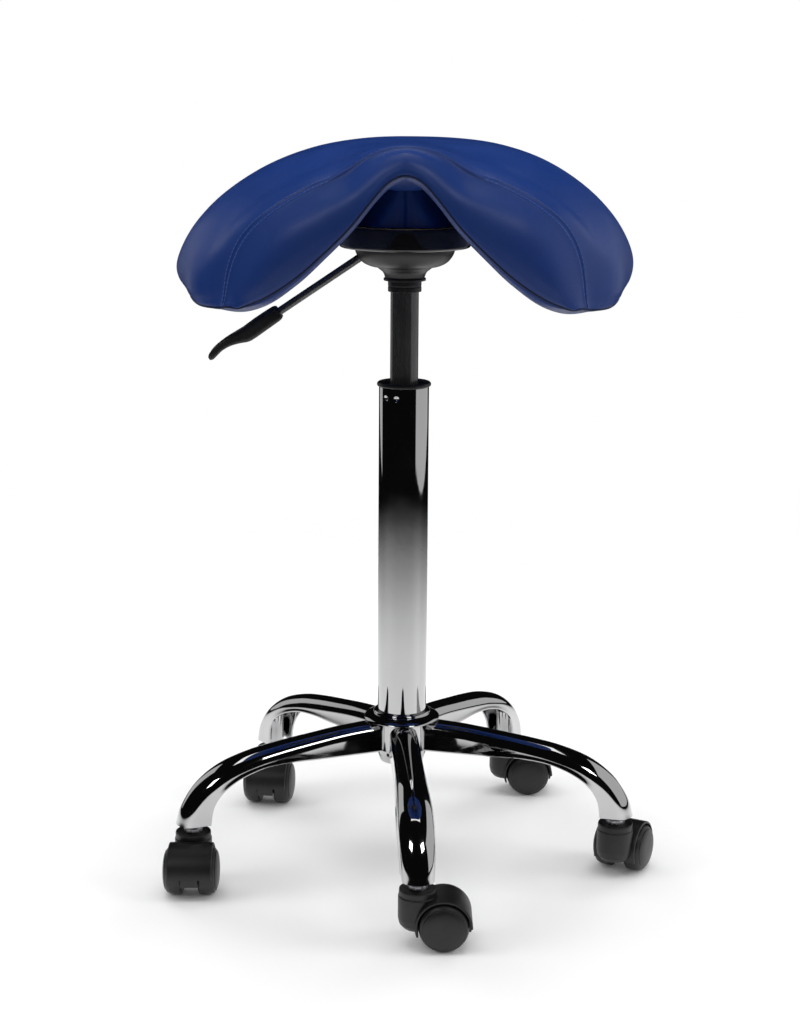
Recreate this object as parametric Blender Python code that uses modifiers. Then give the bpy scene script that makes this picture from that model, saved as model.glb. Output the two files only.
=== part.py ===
"""Height-adjustable saddle stool on a five-arm chromed base with twin-wheel casters.

Units are metres and +Z is up. The front of the seat faces -Y.
Heights in this file are measured from the floor, and radii from the column's axis.
The finished model is then lowered so that its origin is the centre of the lift rod's lower end face.
"""

import math

import bmesh
import bpy
from mathutils import Matrix, Vector

# Clearances
FIT_GAP = 0.0003  # between pieces that touch
RUN_GAP = 0.0003  # between pieces that slide or turn on each other

# How finely round pieces are divided
STEPS_SMALL = 10
STEPS_MEDIUM = 16
STEPS_LARGE = 24
ARCH_STEPS = 6
SHARP_ANGLE = math.radians(35)

# Casters: 50 mm class, hooded, twin wheels
WHEEL_RADIUS = 0.024
WHEEL_GAP = 0.0012
HOOD_WALL = 0.0020
HOOD_HALF_WIDTH = 0.0220
WEB_HALF_WIDTH = 0.0075
WHEEL_OUTER_FACE = 0.0283
TRAIL = 0.0245
TOWER_RADIUS = 0.0185
TOWER_RISE = 0.0048
TOWER_SKIRT = 0.0150
AXLE_RADIUS = 0.0030
AXLE_END_MARGIN = 0.0060
STEM_RADIUS = 0.0055
STEM_FLANGE_RADIUS = 0.0095
STEM_FLANGE_THICKNESS = 0.0035
STEM_IN_TOWER = 0.0230
STEM_IN_SOCKET = 0.0215
# Direction in which each caster trails, counter-clockwise from +X
CASTER_HEADINGS = [math.radians(a) for a in (0, 62, 0, -97, -90)]

# Base: five pressed channel arms around a hub
ARM_COUNT = 5
FIRST_ARM_ANGLE = math.radians(4)  # from -Y towards +X
STEM_CIRCLE_RADIUS = 0.225
ARM_WALL = 0.0020
ARM_TIP_ABOVE_TOWER = 0.0085
ARM_RISE = 0.0848
ARM_ROOT_DEPTH = 0.0300
SOCKET_RADIUS = 0.0122
SOCKET_SLANT_START = 0.0060
SOCKET_HEIGHT = 0.0310
HUB_WALL = 0.0060
HUB_SKIRT = 0.0020
COLLAR_OVERHANG = 0.0080
COLLAR_HEIGHT = 0.0090

# Column tube and guide bush
TUBE_RADIUS = 0.0250
TUBE_WALL = 0.0015
TUBE_ABOVE_HUB = 0.3457
TUBE_BELOW_HUB = 0.0130
TUBE_FLOOR = 0.0025
TUBE_FLOOR_HOLE = 0.0075
TUBE_TAPER = 0.0080
TUBE_TAPER_INSET = 0.0025
CRIMP_RADIUS = 0.0036
CRIMP_DEPTH_BELOW_RIM = 0.0100
CRIMP_ANGLES = [math.radians(a) for a in (-46, -17.5)]  # from -Y, negative towards -X
BUSH_FLANGE_OVERHANG = 0.0020
BUSH_FLANGE_HEIGHT = 0.0042
BUSH_LENGTH = 0.0600

# Gas lift
ROD_RADIUS = 0.0050
ROD_BELOW_TUBE = 0.0050
ROD_SHOULDER_RADIUS = 0.0080
ROD_SHOULDER_HEIGHT = 0.0025
CLIP_THICKNESS = 0.0010
CLIP_RADIUS = 0.0092
BEARING_RADIUS = 0.0170
BEARING_HEIGHT = 0.0055
BUMP_STOP_RADIUS = 0.0132
BUMP_STOP_HEIGHT = 0.0085
CYLINDER_RADIUS = 0.0140
CYLINDER_WALL = 0.0018
CYLINDER_EXPOSED = 0.0900
STROKE_DOWN = 0.0750
STROKE_UP = 0.1250
STROKE_SPARE = 0.0010
SEAL_HEIGHT = 0.0100
PISTON_HEIGHT = 0.0120
PISTON_GAP = 0.0004
TAPER_LENGTH = 0.0265
TAPER_INSET = 0.0010
TAPER_CAP = 0.0090
PIN_RADIUS = 0.0028
PIN_ABOVE_TAPER = 0.0052
PIN_BELOW_CAP = 0.0060

# Seat mechanism
COLLAR_SLEEVE_WALL = 0.0023
COLLAR_SLEEVE_HEIGHT = 0.0105
SOCKET_TUBE_WALL = 0.0025
HOUSING_WALL = 0.0024
HOUSING_RADIUS = 0.0500
HOUSING_HEIGHT = 0.0360
PLATE_RADIUS = 0.0650
PLATE_FLOOR = 0.0040
PLATE_RIM = 0.0035
PLATE_HEIGHT = 0.0180
SCREW_CIRCLE_RADIUS = 0.0565
SCREW_RADIUS = 0.0028
SCREW_HEAD_RADIUS = 0.0050
SCREW_HEAD_HEIGHT = 0.0030
SCREW_COUNT = 4
SCREW_LENGTH_IN_BOARD = 0.0100

# Lever
LEVER_RADIUS = 0.0040
LEVER_PIVOT_X = -0.0300
LEVER_SLOPE = math.radians(34)
LEVER_BEND_X = -0.0400
LEVER_BEND_RADIUS = 0.0140
LEVER_GRIP_X = -0.1240
LEVER_IN_GRIP = 0.0300
PIVOT_RADIUS = 0.0020
EAR_GAP = 0.0018
EAR_THICKNESS = 0.0025
EAR_WIDTH = 0.0120
GRIP_WIDTH = 0.0240
GRIP_ROUNDING = 0.0022

# Seat
BLOCK_TOP_HALF_WIDTH = 0.0330
BLOCK_BOTTOM_HALF_WIDTH = 0.0540
BLOCK_TOP_HALF_DEPTH = 0.0500
BLOCK_BOTTOM_HALF_DEPTH = 0.0540
BLOCK_HEIGHT = 0.0330
BLOCK_ROUNDING = 0.0030
SEAT_HALF_WIDTH = 0.2340
SEAT_FRONT = -0.1840
SEAT_REAR = 0.1920
SEAT_FRONT_LEAN = 0.0160
SEAT_SPINE_ABOVE_PLATE = 0.0820
SADDLE_PATTERN_HALF_WIDTH = 0.2180  # half width that the saddle's outlines are drawn for
SADDLE_DOME_SHARE = 0.5000  # where along the seat the front arch has opened into the dome

# Radii that follow from the sizes above
HUB_RADIUS = TUBE_RADIUS + HUB_WALL
COLLAR_RADIUS = HUB_RADIUS + COLLAR_OVERHANG
BUSH_FLANGE_RADIUS = TUBE_RADIUS + BUSH_FLANGE_OVERHANG
COLLAR_SLEEVE_RADIUS = CYLINDER_RADIUS + FIT_GAP + COLLAR_SLEEVE_WALL

# Heights that follow from the sizes above
HOOD_INNER_RADIUS = WHEEL_RADIUS + WHEEL_GAP
HOOD_RADIUS = HOOD_INNER_RADIUS + HOOD_WALL
TOWER_TOP = WHEEL_RADIUS + HOOD_RADIUS + TOWER_RISE
ARM_TIP = TOWER_TOP + ARM_TIP_ABOVE_TOWER
HUB_TOP = ARM_TIP + ARM_RISE
HUB_BOTTOM = HUB_TOP - ARM_ROOT_DEPTH - HUB_SKIRT
TUBE_TOP = HUB_TOP + TUBE_ABOVE_HUB
TUBE_BOTTOM = HUB_BOTTOM - TUBE_BELOW_HUB
ROD_END = TUBE_BOTTOM - ROD_BELOW_TUBE
BEARING_BOTTOM = TUBE_BOTTOM + TUBE_FLOOR + FIT_GAP
BEARING_TOP = BEARING_BOTTOM + BEARING_HEIGHT
SHOULDER_TOP = BEARING_TOP + FIT_GAP + ROD_SHOULDER_HEIGHT
BUMP_STOP_TOP = SHOULDER_TOP + FIT_GAP + BUMP_STOP_HEIGHT
CYLINDER_BOTTOM = BUMP_STOP_TOP + STROKE_SPARE + STROKE_DOWN
SEAL_BOTTOM = CYLINDER_BOTTOM + FIT_GAP
PISTON_BOTTOM = SEAL_BOTTOM + SEAL_HEIGHT + STROKE_UP + STROKE_SPARE
PISTON_TOP = PISTON_BOTTOM + PISTON_HEIGHT
NECK = TUBE_TOP + FIT_GAP + BUSH_FLANGE_HEIGHT + CYLINDER_EXPOSED
CYLINDER_TOP = NECK + TAPER_LENGTH
HOUSING_BOTTOM = NECK + COLLAR_SLEEVE_HEIGHT + FIT_GAP
PLATE_BOTTOM = HOUSING_BOTTOM + HOUSING_HEIGHT + FIT_GAP
PLATE_TOP = PLATE_BOTTOM + PLATE_HEIGHT
BOARD_BOTTOM = PLATE_BOTTOM + PLATE_FLOOR + FIT_GAP
BOARD_TOP = PLATE_TOP + FIT_GAP
PIN_TOP = CYLINDER_TOP + PIN_ABOVE_TAPER
LEVER_HEIGHT = PIN_TOP + FIT_GAP + LEVER_RADIUS
SPINE_TOP = PLATE_TOP + SEAT_SPINE_ABOVE_PLATE

CHROME = ((0.86, 0.87, 0.88), 0.08, 1.0)
STEEL = ((0.55, 0.56, 0.58), 0.30, 1.0)
DARK_STEEL = ((0.06, 0.06, 0.065), 0.25, 1.0)
BLACK_ENAMEL = ((0.010, 0.010, 0.011), 0.18, 0.0)
BLACK_PLASTIC = ((0.018, 0.018, 0.019), 0.45, 0.0)
RUBBER = ((0.025, 0.025, 0.025), 0.80, 0.0)
PLYWOOD = ((0.45, 0.30, 0.16), 0.65, 0.0)
VINYL = ((0.012, 0.030, 0.190), 0.42, 0.0)


def clear_scene():
    for obj in list(bpy.data.objects):
        bpy.data.objects.remove(obj, do_unlink=True)


def new_collection(name):
    collection = bpy.data.collections.new(name)
    bpy.context.scene.collection.children.link(collection)
    return collection


clear_scene()
STOOL = new_collection("saddle_stool")
CUTTERS = new_collection("cutters")
CUTTERS.hide_render = True

FRAME = bpy.data.objects.new("stool_frame", None)
FRAME.location = (0, 0, -ROD_END)
STOOL.objects.link(FRAME)


def material_for(name, look):
    colour, roughness, metallic = look
    material = bpy.data.materials.new(name)
    material.use_nodes = True
    shader = material.node_tree.nodes["Principled BSDF"]
    shader.inputs["Base Color"].default_value = (*colour, 1)
    shader.inputs["Roughness"].default_value = roughness
    shader.inputs["Metallic"].default_value = metallic
    return material


def finish(obj, look, parent=None):
    """Gives a sub-part its own material and hangs it on the stool's frame, or on another empty."""
    obj.data = obj.data.copy() if obj.data.users > 1 else obj.data
    obj.data.materials.clear()
    obj.data.materials.append(material_for(obj.name, look))
    obj.parent = parent or FRAME
    return obj


def mesh_object(name, mesh, collection=None):
    obj = bpy.data.objects.new(name, mesh)
    (collection or STOOL).objects.link(obj)
    return obj


def from_bmesh(name, bm, collection=None):
    mesh = bpy.data.meshes.new(name)
    bmesh.ops.recalc_face_normals(bm, faces=bm.faces)
    bm.to_mesh(mesh)
    bm.free()
    mesh.shade_smooth()
    mesh.set_sharp_from_angle(angle=SHARP_ANGLE)
    return mesh_object(name, mesh, collection)


def turned(name, profile, steps, collection=None):
    """Turns a profile of (radius, height) about Z. A profile that leaves the axis is closed into a ring."""
    mesh = bpy.data.meshes.new(name)
    points = [(radius, 0, height) for radius, height in profile]
    edges = [(i, i + 1) for i in range(len(points) - 1)]
    if profile[0][0] > 0:
        edges.append((len(points) - 1, 0))
    mesh.from_pydata(points, edges, [])
    obj = mesh_object(name, mesh, collection)
    screw = obj.modifiers.new("turn", "SCREW")
    screw.axis = "Z"
    screw.steps = steps
    screw.render_steps = steps
    screw.use_merge_vertices = True
    screw.merge_threshold = 0.00001
    screw.use_smooth_shade = True
    return obj


def cylinder(name, radius, low, high, steps, collection=None):
    bm = bmesh.new()
    place = Matrix.Translation((0, 0, (low + high) / 2))
    bmesh.ops.create_cone(
        bm,
        cap_ends=True,
        segments=steps,
        radius1=radius,
        radius2=radius,
        depth=high - low,
        matrix=place,
    )
    return from_bmesh(name, bm, collection)


def box(name, low, high, collection=None):
    bm = bmesh.new()
    low = Vector(low)
    high = Vector(high)
    place = Matrix.Translation((low + high) / 2) @ Matrix.Diagonal((*(high - low), 1))
    bmesh.ops.create_cube(bm, size=1, matrix=place)
    return from_bmesh(name, bm, collection)


def boolean(obj, other, operation="DIFFERENCE"):
    """Cuts the other object from this one, or joins it, and keeps the other one as a hidden cutter."""
    modifier = obj.modifiers.new(f"{operation.lower()}_{other.name}", "BOOLEAN")
    modifier.operation = operation
    modifier.object = other
    other.hide_render = True
    other.display_type = "WIRE"
    return obj


def bake(obj, *cutters):
    """Turns an object with its modifiers into plain mesh data, and removes it and its cutters."""
    bpy.context.view_layer.update()
    graph = bpy.context.evaluated_depsgraph_get()
    mesh = bpy.data.meshes.new_from_object(obj.evaluated_get(graph))
    for used in (obj, *cutters):
        bpy.data.objects.remove(used, do_unlink=True)
    bm = bmesh.new()
    bm.from_mesh(mesh)
    bmesh.ops.remove_doubles(bm, verts=bm.verts, dist=0.00001)
    bm.to_mesh(mesh)
    bm.free()
    mesh.shade_smooth()
    mesh.set_sharp_from_angle(angle=SHARP_ANGLE)
    return mesh


def along_y(obj, x=0.0, z=0.0):
    """Lays an object that was made along Z down along Y, at the given place."""
    obj.data.transform(Matrix.Rotation(math.radians(90), 4, "X"))
    obj.data.transform(Matrix.Translation((x, 0, z)))
    return obj


def smooth_row(points, between):
    """A Catmull-Rom curve through the points, with this many steps in each span."""
    points = [Vector(p) for p in points]
    first = 2 * points[0] - points[1]
    last = 2 * points[-1] - points[-2]
    padded = [first, *points, last]
    row = []
    for i in range(1, len(padded) - 2):
        a, b, c, d = padded[i - 1 : i + 3]
        for step in range(between):
            t = step / between
            row.append(
                0.5
                * (2 * b + (c - a) * t + (2 * a - 5 * b + 4 * c - d) * t**2 + (3 * b - a - 3 * c + d) * t**3)
            )
    row.append(points[-1])
    return row


def closed_loft(name, sections, collection=None):
    """A solid through closed sections of equal, even length, capped by rungs across its end sections."""
    bm = bmesh.new()
    rings = [[bm.verts.new(point) for point in section] for section in sections]
    count = len(rings[0])
    for near, far in zip(rings, rings[1:]):
        for i in range(count):
            after = (i + 1) % count
            bm.faces.new((near[i], near[after], far[after], far[i]))
    for ring in (rings[0], rings[-1]):
        for i in range(count // 2 - 1):
            bm.faces.new((ring[i], ring[i + 1], ring[count - 2 - i], ring[count - 1 - i]))
    return from_bmesh(name, bm, collection)


# ---------------------------------------------------------------- base


def arm_angle(index):
    return FIRST_ARM_ANGLE + index * 2 * math.pi / ARM_COUNT


def arm_turn(index):
    """Rotation about Z that takes the local +X of an arm to its direction."""
    return arm_angle(index) - math.radians(90)


def make_hub():
    bore = TUBE_RADIUS + FIT_GAP
    hub = turned(
        "base_hub",
        [
            (HUB_RADIUS, HUB_TOP),
            (HUB_RADIUS, HUB_BOTTOM + HUB_SKIRT),
            (HUB_RADIUS - HUB_SKIRT, HUB_BOTTOM),
            (bore, HUB_BOTTOM),
            (bore, HUB_TOP),
        ],
        STEPS_LARGE,
    )
    finish(hub, CHROME)


def make_collar():
    """Stepped, flared ring that covers the roots of the arms."""
    bore = TUBE_RADIUS + FIT_GAP
    low = HUB_TOP + FIT_GAP
    rim = COLLAR_RADIUS
    collar = turned(
        "hub_collar",
        [
            (bore + 0.0020, low + COLLAR_HEIGHT),
            (bore + 0.0034, low + COLLAR_HEIGHT * 0.90),
            (bore + 0.0040, low + COLLAR_HEIGHT * 0.62),
            (bore + 0.0060, low + COLLAR_HEIGHT * 0.52),
            (rim - 0.0030, low + COLLAR_HEIGHT * 0.38),
            (rim - 0.0006, low + COLLAR_HEIGHT * 0.22),
            (rim, low + COLLAR_HEIGHT * 0.10),
            (rim - 0.0005, low),
            (bore, low),
            (bore, low + COLLAR_HEIGHT),
        ],
        STEPS_LARGE,
    )
    finish(collar, CHROME)


def arm_rows():
    """Spine line and lower edge of an arm, in its own (radius, height) plane, from hub to tip."""
    root = HUB_RADIUS + FIT_GAP
    reach = STEM_CIRCLE_RADIUS
    beam = reach - root

    def along(share, height):
        return (root + share * beam, 0, ARM_TIP + height)

    def near_stem(offset, height):
        return (reach + offset, 0, ARM_TIP + height)

    spine = [
        along(0, ARM_RISE),
        along(0.175, ARM_RISE - 0.0023),
        along(0.356, ARM_RISE - 0.0065),
        along(0.536, ARM_RISE - 0.0112),
        along(0.696, ARM_RISE - 0.0170),
        near_stem(-0.0280, 0.0570),
        near_stem(-0.0040, 0.0398),
        near_stem(0.0115, 0.0182),
        near_stem(0.0172, 0),
    ]
    edge = [
        along(0, ARM_RISE - ARM_ROOT_DEPTH),
        along(0.175, ARM_RISE - ARM_ROOT_DEPTH),
        along(0.356, ARM_RISE - ARM_ROOT_DEPTH + 0.0002),
        along(0.500, ARM_RISE - ARM_ROOT_DEPTH + 0.0008),
        along(0.640, ARM_RISE - ARM_ROOT_DEPTH - 0.0016),
        near_stem(-0.0455, 0.0455),
        near_stem(-0.0270, 0.0335),
        near_stem(-0.0170, 0.0185),
        near_stem(-0.0140, 0),
    ]
    half_widths = [0.0150, 0.0151, 0.0156, 0.0163, 0.0172, 0.0182, 0.0184, 0.0174, 0.0162]
    return spine, edge, half_widths


def channel_section(spine, edge, half_width):
    """Closed outline of an inverted U: up the outside, over the round top, and back along the inside."""
    up = spine - edge
    height = up.length
    up = up / height
    side = Vector((0, 1, 0))
    crown = 0.80 * half_width

    def arch(width, rise, top):
        bend = top - rise
        outline = [(-width, 0.0)]
        for i in range(ARCH_STEPS + 1):
            angle = math.pi * (1 - i / ARCH_STEPS)
            outline.append((width * math.cos(angle), bend + rise * math.sin(angle)))
        outline.append((width, 0.0))
        return outline

    outer = arch(half_width, crown, height)
    inner = arch(half_width - ARM_WALL, crown - ARM_WALL * 0.4, height - ARM_WALL)
    return [edge + side * a + up * b for a, b in outer + inner[::-1]]


def make_arms():
    spine, edge, half_widths = arm_rows()
    spine = smooth_row(spine, 2)
    edge = smooth_row(edge, 2)
    widths = [v.x for v in smooth_row([(w, 0, 0) for w in half_widths], 2)]
    sections = [channel_section(*row) for row in zip(spine, edge, widths)]
    # The root follows the hub's round face.
    root = HUB_RADIUS + FIT_GAP
    sections[0] = [Vector((math.sqrt(root**2 - p.y**2), p.y, p.z)) for p in sections[0]]
    shape = closed_loft("arm_shape", sections)
    mesh = bake(shape)
    for index in range(ARM_COUNT):
        arm = mesh_object(f"base_arm_{index + 1}", mesh)
        arm.rotation_euler.z = arm_turn(index)
        finish(arm, CHROME)


def make_stem_sockets():
    """Tube inside each arm's tip that holds a caster stem. Its top is slanted to clear the arm's crown."""
    bore = STEM_RADIUS + FIT_GAP
    shape = cylinder("socket_shape", SOCKET_RADIUS, ARM_TIP, ARM_TIP + SOCKET_HEIGHT, STEPS_MEDIUM)
    drill = cylinder("socket_drill", bore, ARM_TIP - 0.01, ARM_TIP + 2 * SOCKET_HEIGHT, STEPS_SMALL)
    slant = box("socket_slant", (0, -0.05, 0), (0.10, 0.05, 0.10))
    slant.data.transform(Matrix.Rotation(math.radians(-37), 4, "Y"))
    slant.data.transform(Matrix.Translation((SOCKET_RADIUS, 0, ARM_TIP + SOCKET_SLANT_START)))
    boolean(shape, slant)
    boolean(shape, drill)
    mesh = bake(shape, slant, drill)
    mesh.transform(Matrix.Translation((STEM_CIRCLE_RADIUS, 0, 0)))
    for index in range(ARM_COUNT):
        socket = mesh_object(f"stem_socket_{index + 1}", mesh)
        socket.rotation_euler.z = arm_turn(index)
        finish(socket, CHROME)


def make_column_tube():
    inner = TUBE_RADIUS - TUBE_WALL
    foot = TUBE_RADIUS - TUBE_TAPER_INSET
    tube = turned(
        "column_tube",
        [
            (TUBE_RADIUS, TUBE_TOP),
            (TUBE_RADIUS, TUBE_BOTTOM + TUBE_TAPER),
            (foot, TUBE_BOTTOM),
            (TUBE_FLOOR_HOLE, TUBE_BOTTOM),
            (TUBE_FLOOR_HOLE, TUBE_BOTTOM + TUBE_FLOOR),
            (foot - TUBE_WALL, TUBE_BOTTOM + TUBE_FLOOR),
            (inner, TUBE_BOTTOM + TUBE_TAPER + TUBE_FLOOR),
            (inner, TUBE_TOP),
        ],
        STEPS_LARGE,
    )
    for number, angle in enumerate(CRIMP_ANGLES, 1):
        punch = cylinder(f"crimp_punch_{number}", CRIMP_RADIUS, 0, TUBE_RADIUS, STEPS_SMALL, CUTTERS)
        punch.data.transform(Matrix.Translation((0, 0, inner - FIT_GAP / 2)))
        punch.data.transform(Matrix.Rotation(math.radians(90), 4, "X"))
        punch.rotation_euler.z = angle
        punch.location.z = TUBE_TOP - CRIMP_DEPTH_BELOW_RIM
        punch.parent = FRAME
        boolean(tube, punch)
    finish(tube, CHROME)


def make_guide_bush():
    sleeve = TUBE_RADIUS - TUBE_WALL - FIT_GAP
    bore = CYLINDER_RADIUS + RUN_GAP
    low = TUBE_TOP + FIT_GAP
    top = low + BUSH_FLANGE_HEIGHT
    rim = BUSH_FLANGE_RADIUS
    bush = turned(
        "guide_bush",
        [
            (bore + 0.0010, top - 0.0006),
            (rim - 0.0062, top - 0.0006),
            (rim - 0.0050, top),
            (rim - 0.0012, top),
            (rim, top - 0.0012),
            (rim, low + 0.0008),
            (rim - 0.0008, low),
            (sleeve, low),
            (sleeve, TUBE_TOP - BUSH_LENGTH),
            (bore, TUBE_TOP - BUSH_LENGTH),
            (bore, top - 0.0016),
        ],
        STEPS_LARGE,
    )
    finish(bush, BLACK_PLASTIC)


def make_thrust_bearing():
    bore = ROD_RADIUS + RUN_GAP
    bearing = turned(
        "thrust_bearing",
        [
            (BEARING_RADIUS, BEARING_TOP),
            (BEARING_RADIUS, BEARING_BOTTOM + BEARING_HEIGHT * 0.62),
            (BEARING_RADIUS - 0.0012, BEARING_BOTTOM + BEARING_HEIGHT * 0.5),
            (BEARING_RADIUS, BEARING_BOTTOM + BEARING_HEIGHT * 0.38),
            (BEARING_RADIUS, BEARING_BOTTOM),
            (bore, BEARING_BOTTOM),
            (bore, BEARING_TOP),
        ],
        STEPS_MEDIUM,
    )
    finish(bearing, STEEL)


# ---------------------------------------------------------------- gas lift


def make_piston_rod():
    """Rod with its piston, the shoulder that sits on the bearing, and a groove for the clip."""
    groove = ROD_RADIUS - 0.0008
    clip_top = TUBE_BOTTOM - FIT_GAP
    clip_bottom = clip_top - CLIP_THICKNESS
    piston = CYLINDER_RADIUS - CYLINDER_WALL - PISTON_GAP
    rod = turned(
        "piston_rod",
        [
            (0, PISTON_TOP),
            (piston - 0.0010, PISTON_TOP),
            (piston, PISTON_TOP - 0.0010),
            (piston, PISTON_BOTTOM + 0.0010),
            (piston - 0.0010, PISTON_BOTTOM),
            (ROD_RADIUS, PISTON_BOTTOM),
            (ROD_RADIUS, SHOULDER_TOP),
            (ROD_SHOULDER_RADIUS, SHOULDER_TOP),
            (ROD_SHOULDER_RADIUS, BEARING_TOP + FIT_GAP),
            (ROD_RADIUS, BEARING_TOP + FIT_GAP),
            (ROD_RADIUS, clip_top + FIT_GAP / 2),
            (groove, clip_top + FIT_GAP / 2),
            (groove, clip_bottom - FIT_GAP),
            (ROD_RADIUS, clip_bottom - FIT_GAP),
            (ROD_RADIUS, ROD_END + 0.0006),
            (ROD_RADIUS - 0.0006, ROD_END),
            (0, ROD_END),
        ],
        STEPS_MEDIUM,
    )
    finish(rod, STEEL)


def make_retaining_clip():
    """Spring clip in the rod's groove, under the tube's floor, with its open side at the back."""
    top = TUBE_BOTTOM - FIT_GAP
    bottom = top - CLIP_THICKNESS
    bore = ROD_RADIUS - 0.0008 + FIT_GAP
    clip = turned(
        "retaining_clip",
        [(CLIP_RADIUS, top), (CLIP_RADIUS, bottom), (bore, bottom), (bore, top)],
        STEPS_MEDIUM,
    )
    slot_half_width = bore * 0.75
    slot = box(
        "clip_slot",
        (-slot_half_width, 0, bottom - 0.002),
        (slot_half_width, 2 * CLIP_RADIUS, top + 0.002),
        CUTTERS,
    )
    slot.parent = FRAME
    boolean(clip, slot)
    finish(clip, STEEL)


def make_bump_stop():
    bore = ROD_RADIUS + FIT_GAP
    low = SHOULDER_TOP + FIT_GAP
    stop = turned(
        "bump_stop",
        [
            (BUMP_STOP_RADIUS - 0.0012, BUMP_STOP_TOP),
            (BUMP_STOP_RADIUS, BUMP_STOP_TOP - 0.0012),
            (BUMP_STOP_RADIUS, low + 0.0012),
            (BUMP_STOP_RADIUS - 0.0012, low),
            (bore, low),
            (bore, BUMP_STOP_TOP),
        ],
        STEPS_MEDIUM,
    )
    finish(stop, RUBBER)


def make_gas_cylinder():
    """Cylinder open at the bottom, with a taper at the top that wedges into the seat's socket."""
    bore = CYLINDER_RADIUS - CYLINDER_WALL
    hole = PIN_RADIUS + RUN_GAP
    cap = CYLINDER_TOP - TAPER_CAP
    gas = turned(
        "gas_cylinder",
        [
            (CYLINDER_RADIUS - TAPER_INSET, CYLINDER_TOP),
            (CYLINDER_RADIUS, NECK + COLLAR_SLEEVE_HEIGHT),
            (CYLINDER_RADIUS, CYLINDER_BOTTOM + 0.0010),
            (CYLINDER_RADIUS - 0.0008, CYLINDER_BOTTOM),
            (bore, CYLINDER_BOTTOM),
            (bore, cap),
            (hole, cap),
            (hole, CYLINDER_TOP),
        ],
        STEPS_LARGE,
    )
    finish(gas, DARK_STEEL)


def make_rod_seal():
    top = SEAL_BOTTOM + SEAL_HEIGHT
    outer = CYLINDER_RADIUS - CYLINDER_WALL - FIT_GAP
    bore = ROD_RADIUS + RUN_GAP
    seal = turned(
        "rod_seal",
        [
            (outer, top),
            (outer, SEAL_BOTTOM + SEAL_HEIGHT * 0.6),
            (outer - 0.0010, SEAL_BOTTOM + SEAL_HEIGHT * 0.5),
            (outer, SEAL_BOTTOM + SEAL_HEIGHT * 0.4),
            (outer, SEAL_BOTTOM),
            (bore, SEAL_BOTTOM),
            (bore, top),
        ],
        STEPS_MEDIUM,
    )
    finish(seal, RUBBER)


def make_release_pin():
    pin = turned(
        "release_pin",
        [
            (0, PIN_TOP),
            (PIN_RADIUS - 0.0006, PIN_TOP),
            (PIN_RADIUS, PIN_TOP - 0.0006),
            (PIN_RADIUS, CYLINDER_TOP - TAPER_CAP - PIN_BELOW_CAP),
            (0, CYLINDER_TOP - TAPER_CAP - PIN_BELOW_CAP),
        ],
        STEPS_SMALL,
    )
    finish(pin, STEEL)


# ---------------------------------------------------------------- seat mechanism


def make_neck_collar():
    bore = CYLINDER_RADIUS + FIT_GAP
    top = NECK + COLLAR_SLEEVE_HEIGHT
    collar = turned(
        "neck_collar",
        [
            (COLLAR_SLEEVE_RADIUS, top),
            (COLLAR_SLEEVE_RADIUS, NECK + 0.0008),
            (COLLAR_SLEEVE_RADIUS - 0.0008, NECK),
            (bore, NECK),
            (bore, top),
        ],
        STEPS_LARGE,
    )
    finish(collar, BLACK_PLASTIC)


def taper_radius(height):
    """Radius of the gas cylinder's taper at this height."""
    start = NECK + COLLAR_SLEEVE_HEIGHT
    share = (height - start) / (CYLINDER_TOP - start)
    return CYLINDER_RADIUS - TAPER_INSET * share


def socket_outer_radius():
    return CYLINDER_RADIUS + FIT_GAP + SOCKET_TUBE_WALL


def make_taper_socket():
    """Steel socket under the plate that grips the cylinder's taper, slotted for the lever."""
    low = HOUSING_BOTTOM + 0.0010
    top = PLATE_BOTTOM - FIT_GAP
    outer = socket_outer_radius()
    socket = turned(
        "taper_socket",
        [
            (outer, top),
            (outer, low),
            (taper_radius(low) + FIT_GAP, low),
            (taper_radius(CYLINDER_TOP) + FIT_GAP, CYLINDER_TOP),
            (taper_radius(CYLINDER_TOP) + FIT_GAP, top),
        ],
        STEPS_LARGE,
    )
    slot = box(
        "socket_slot",
        (-2 * outer, -LEVER_RADIUS - EAR_GAP, CYLINDER_TOP + 0.0015),
        (0, LEVER_RADIUS + EAR_GAP, LEVER_HEIGHT + LEVER_RADIUS + 0.0012),
        CUTTERS,
    )
    slot.parent = FRAME
    boolean(socket, slot)
    finish(socket, STEEL)


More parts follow.
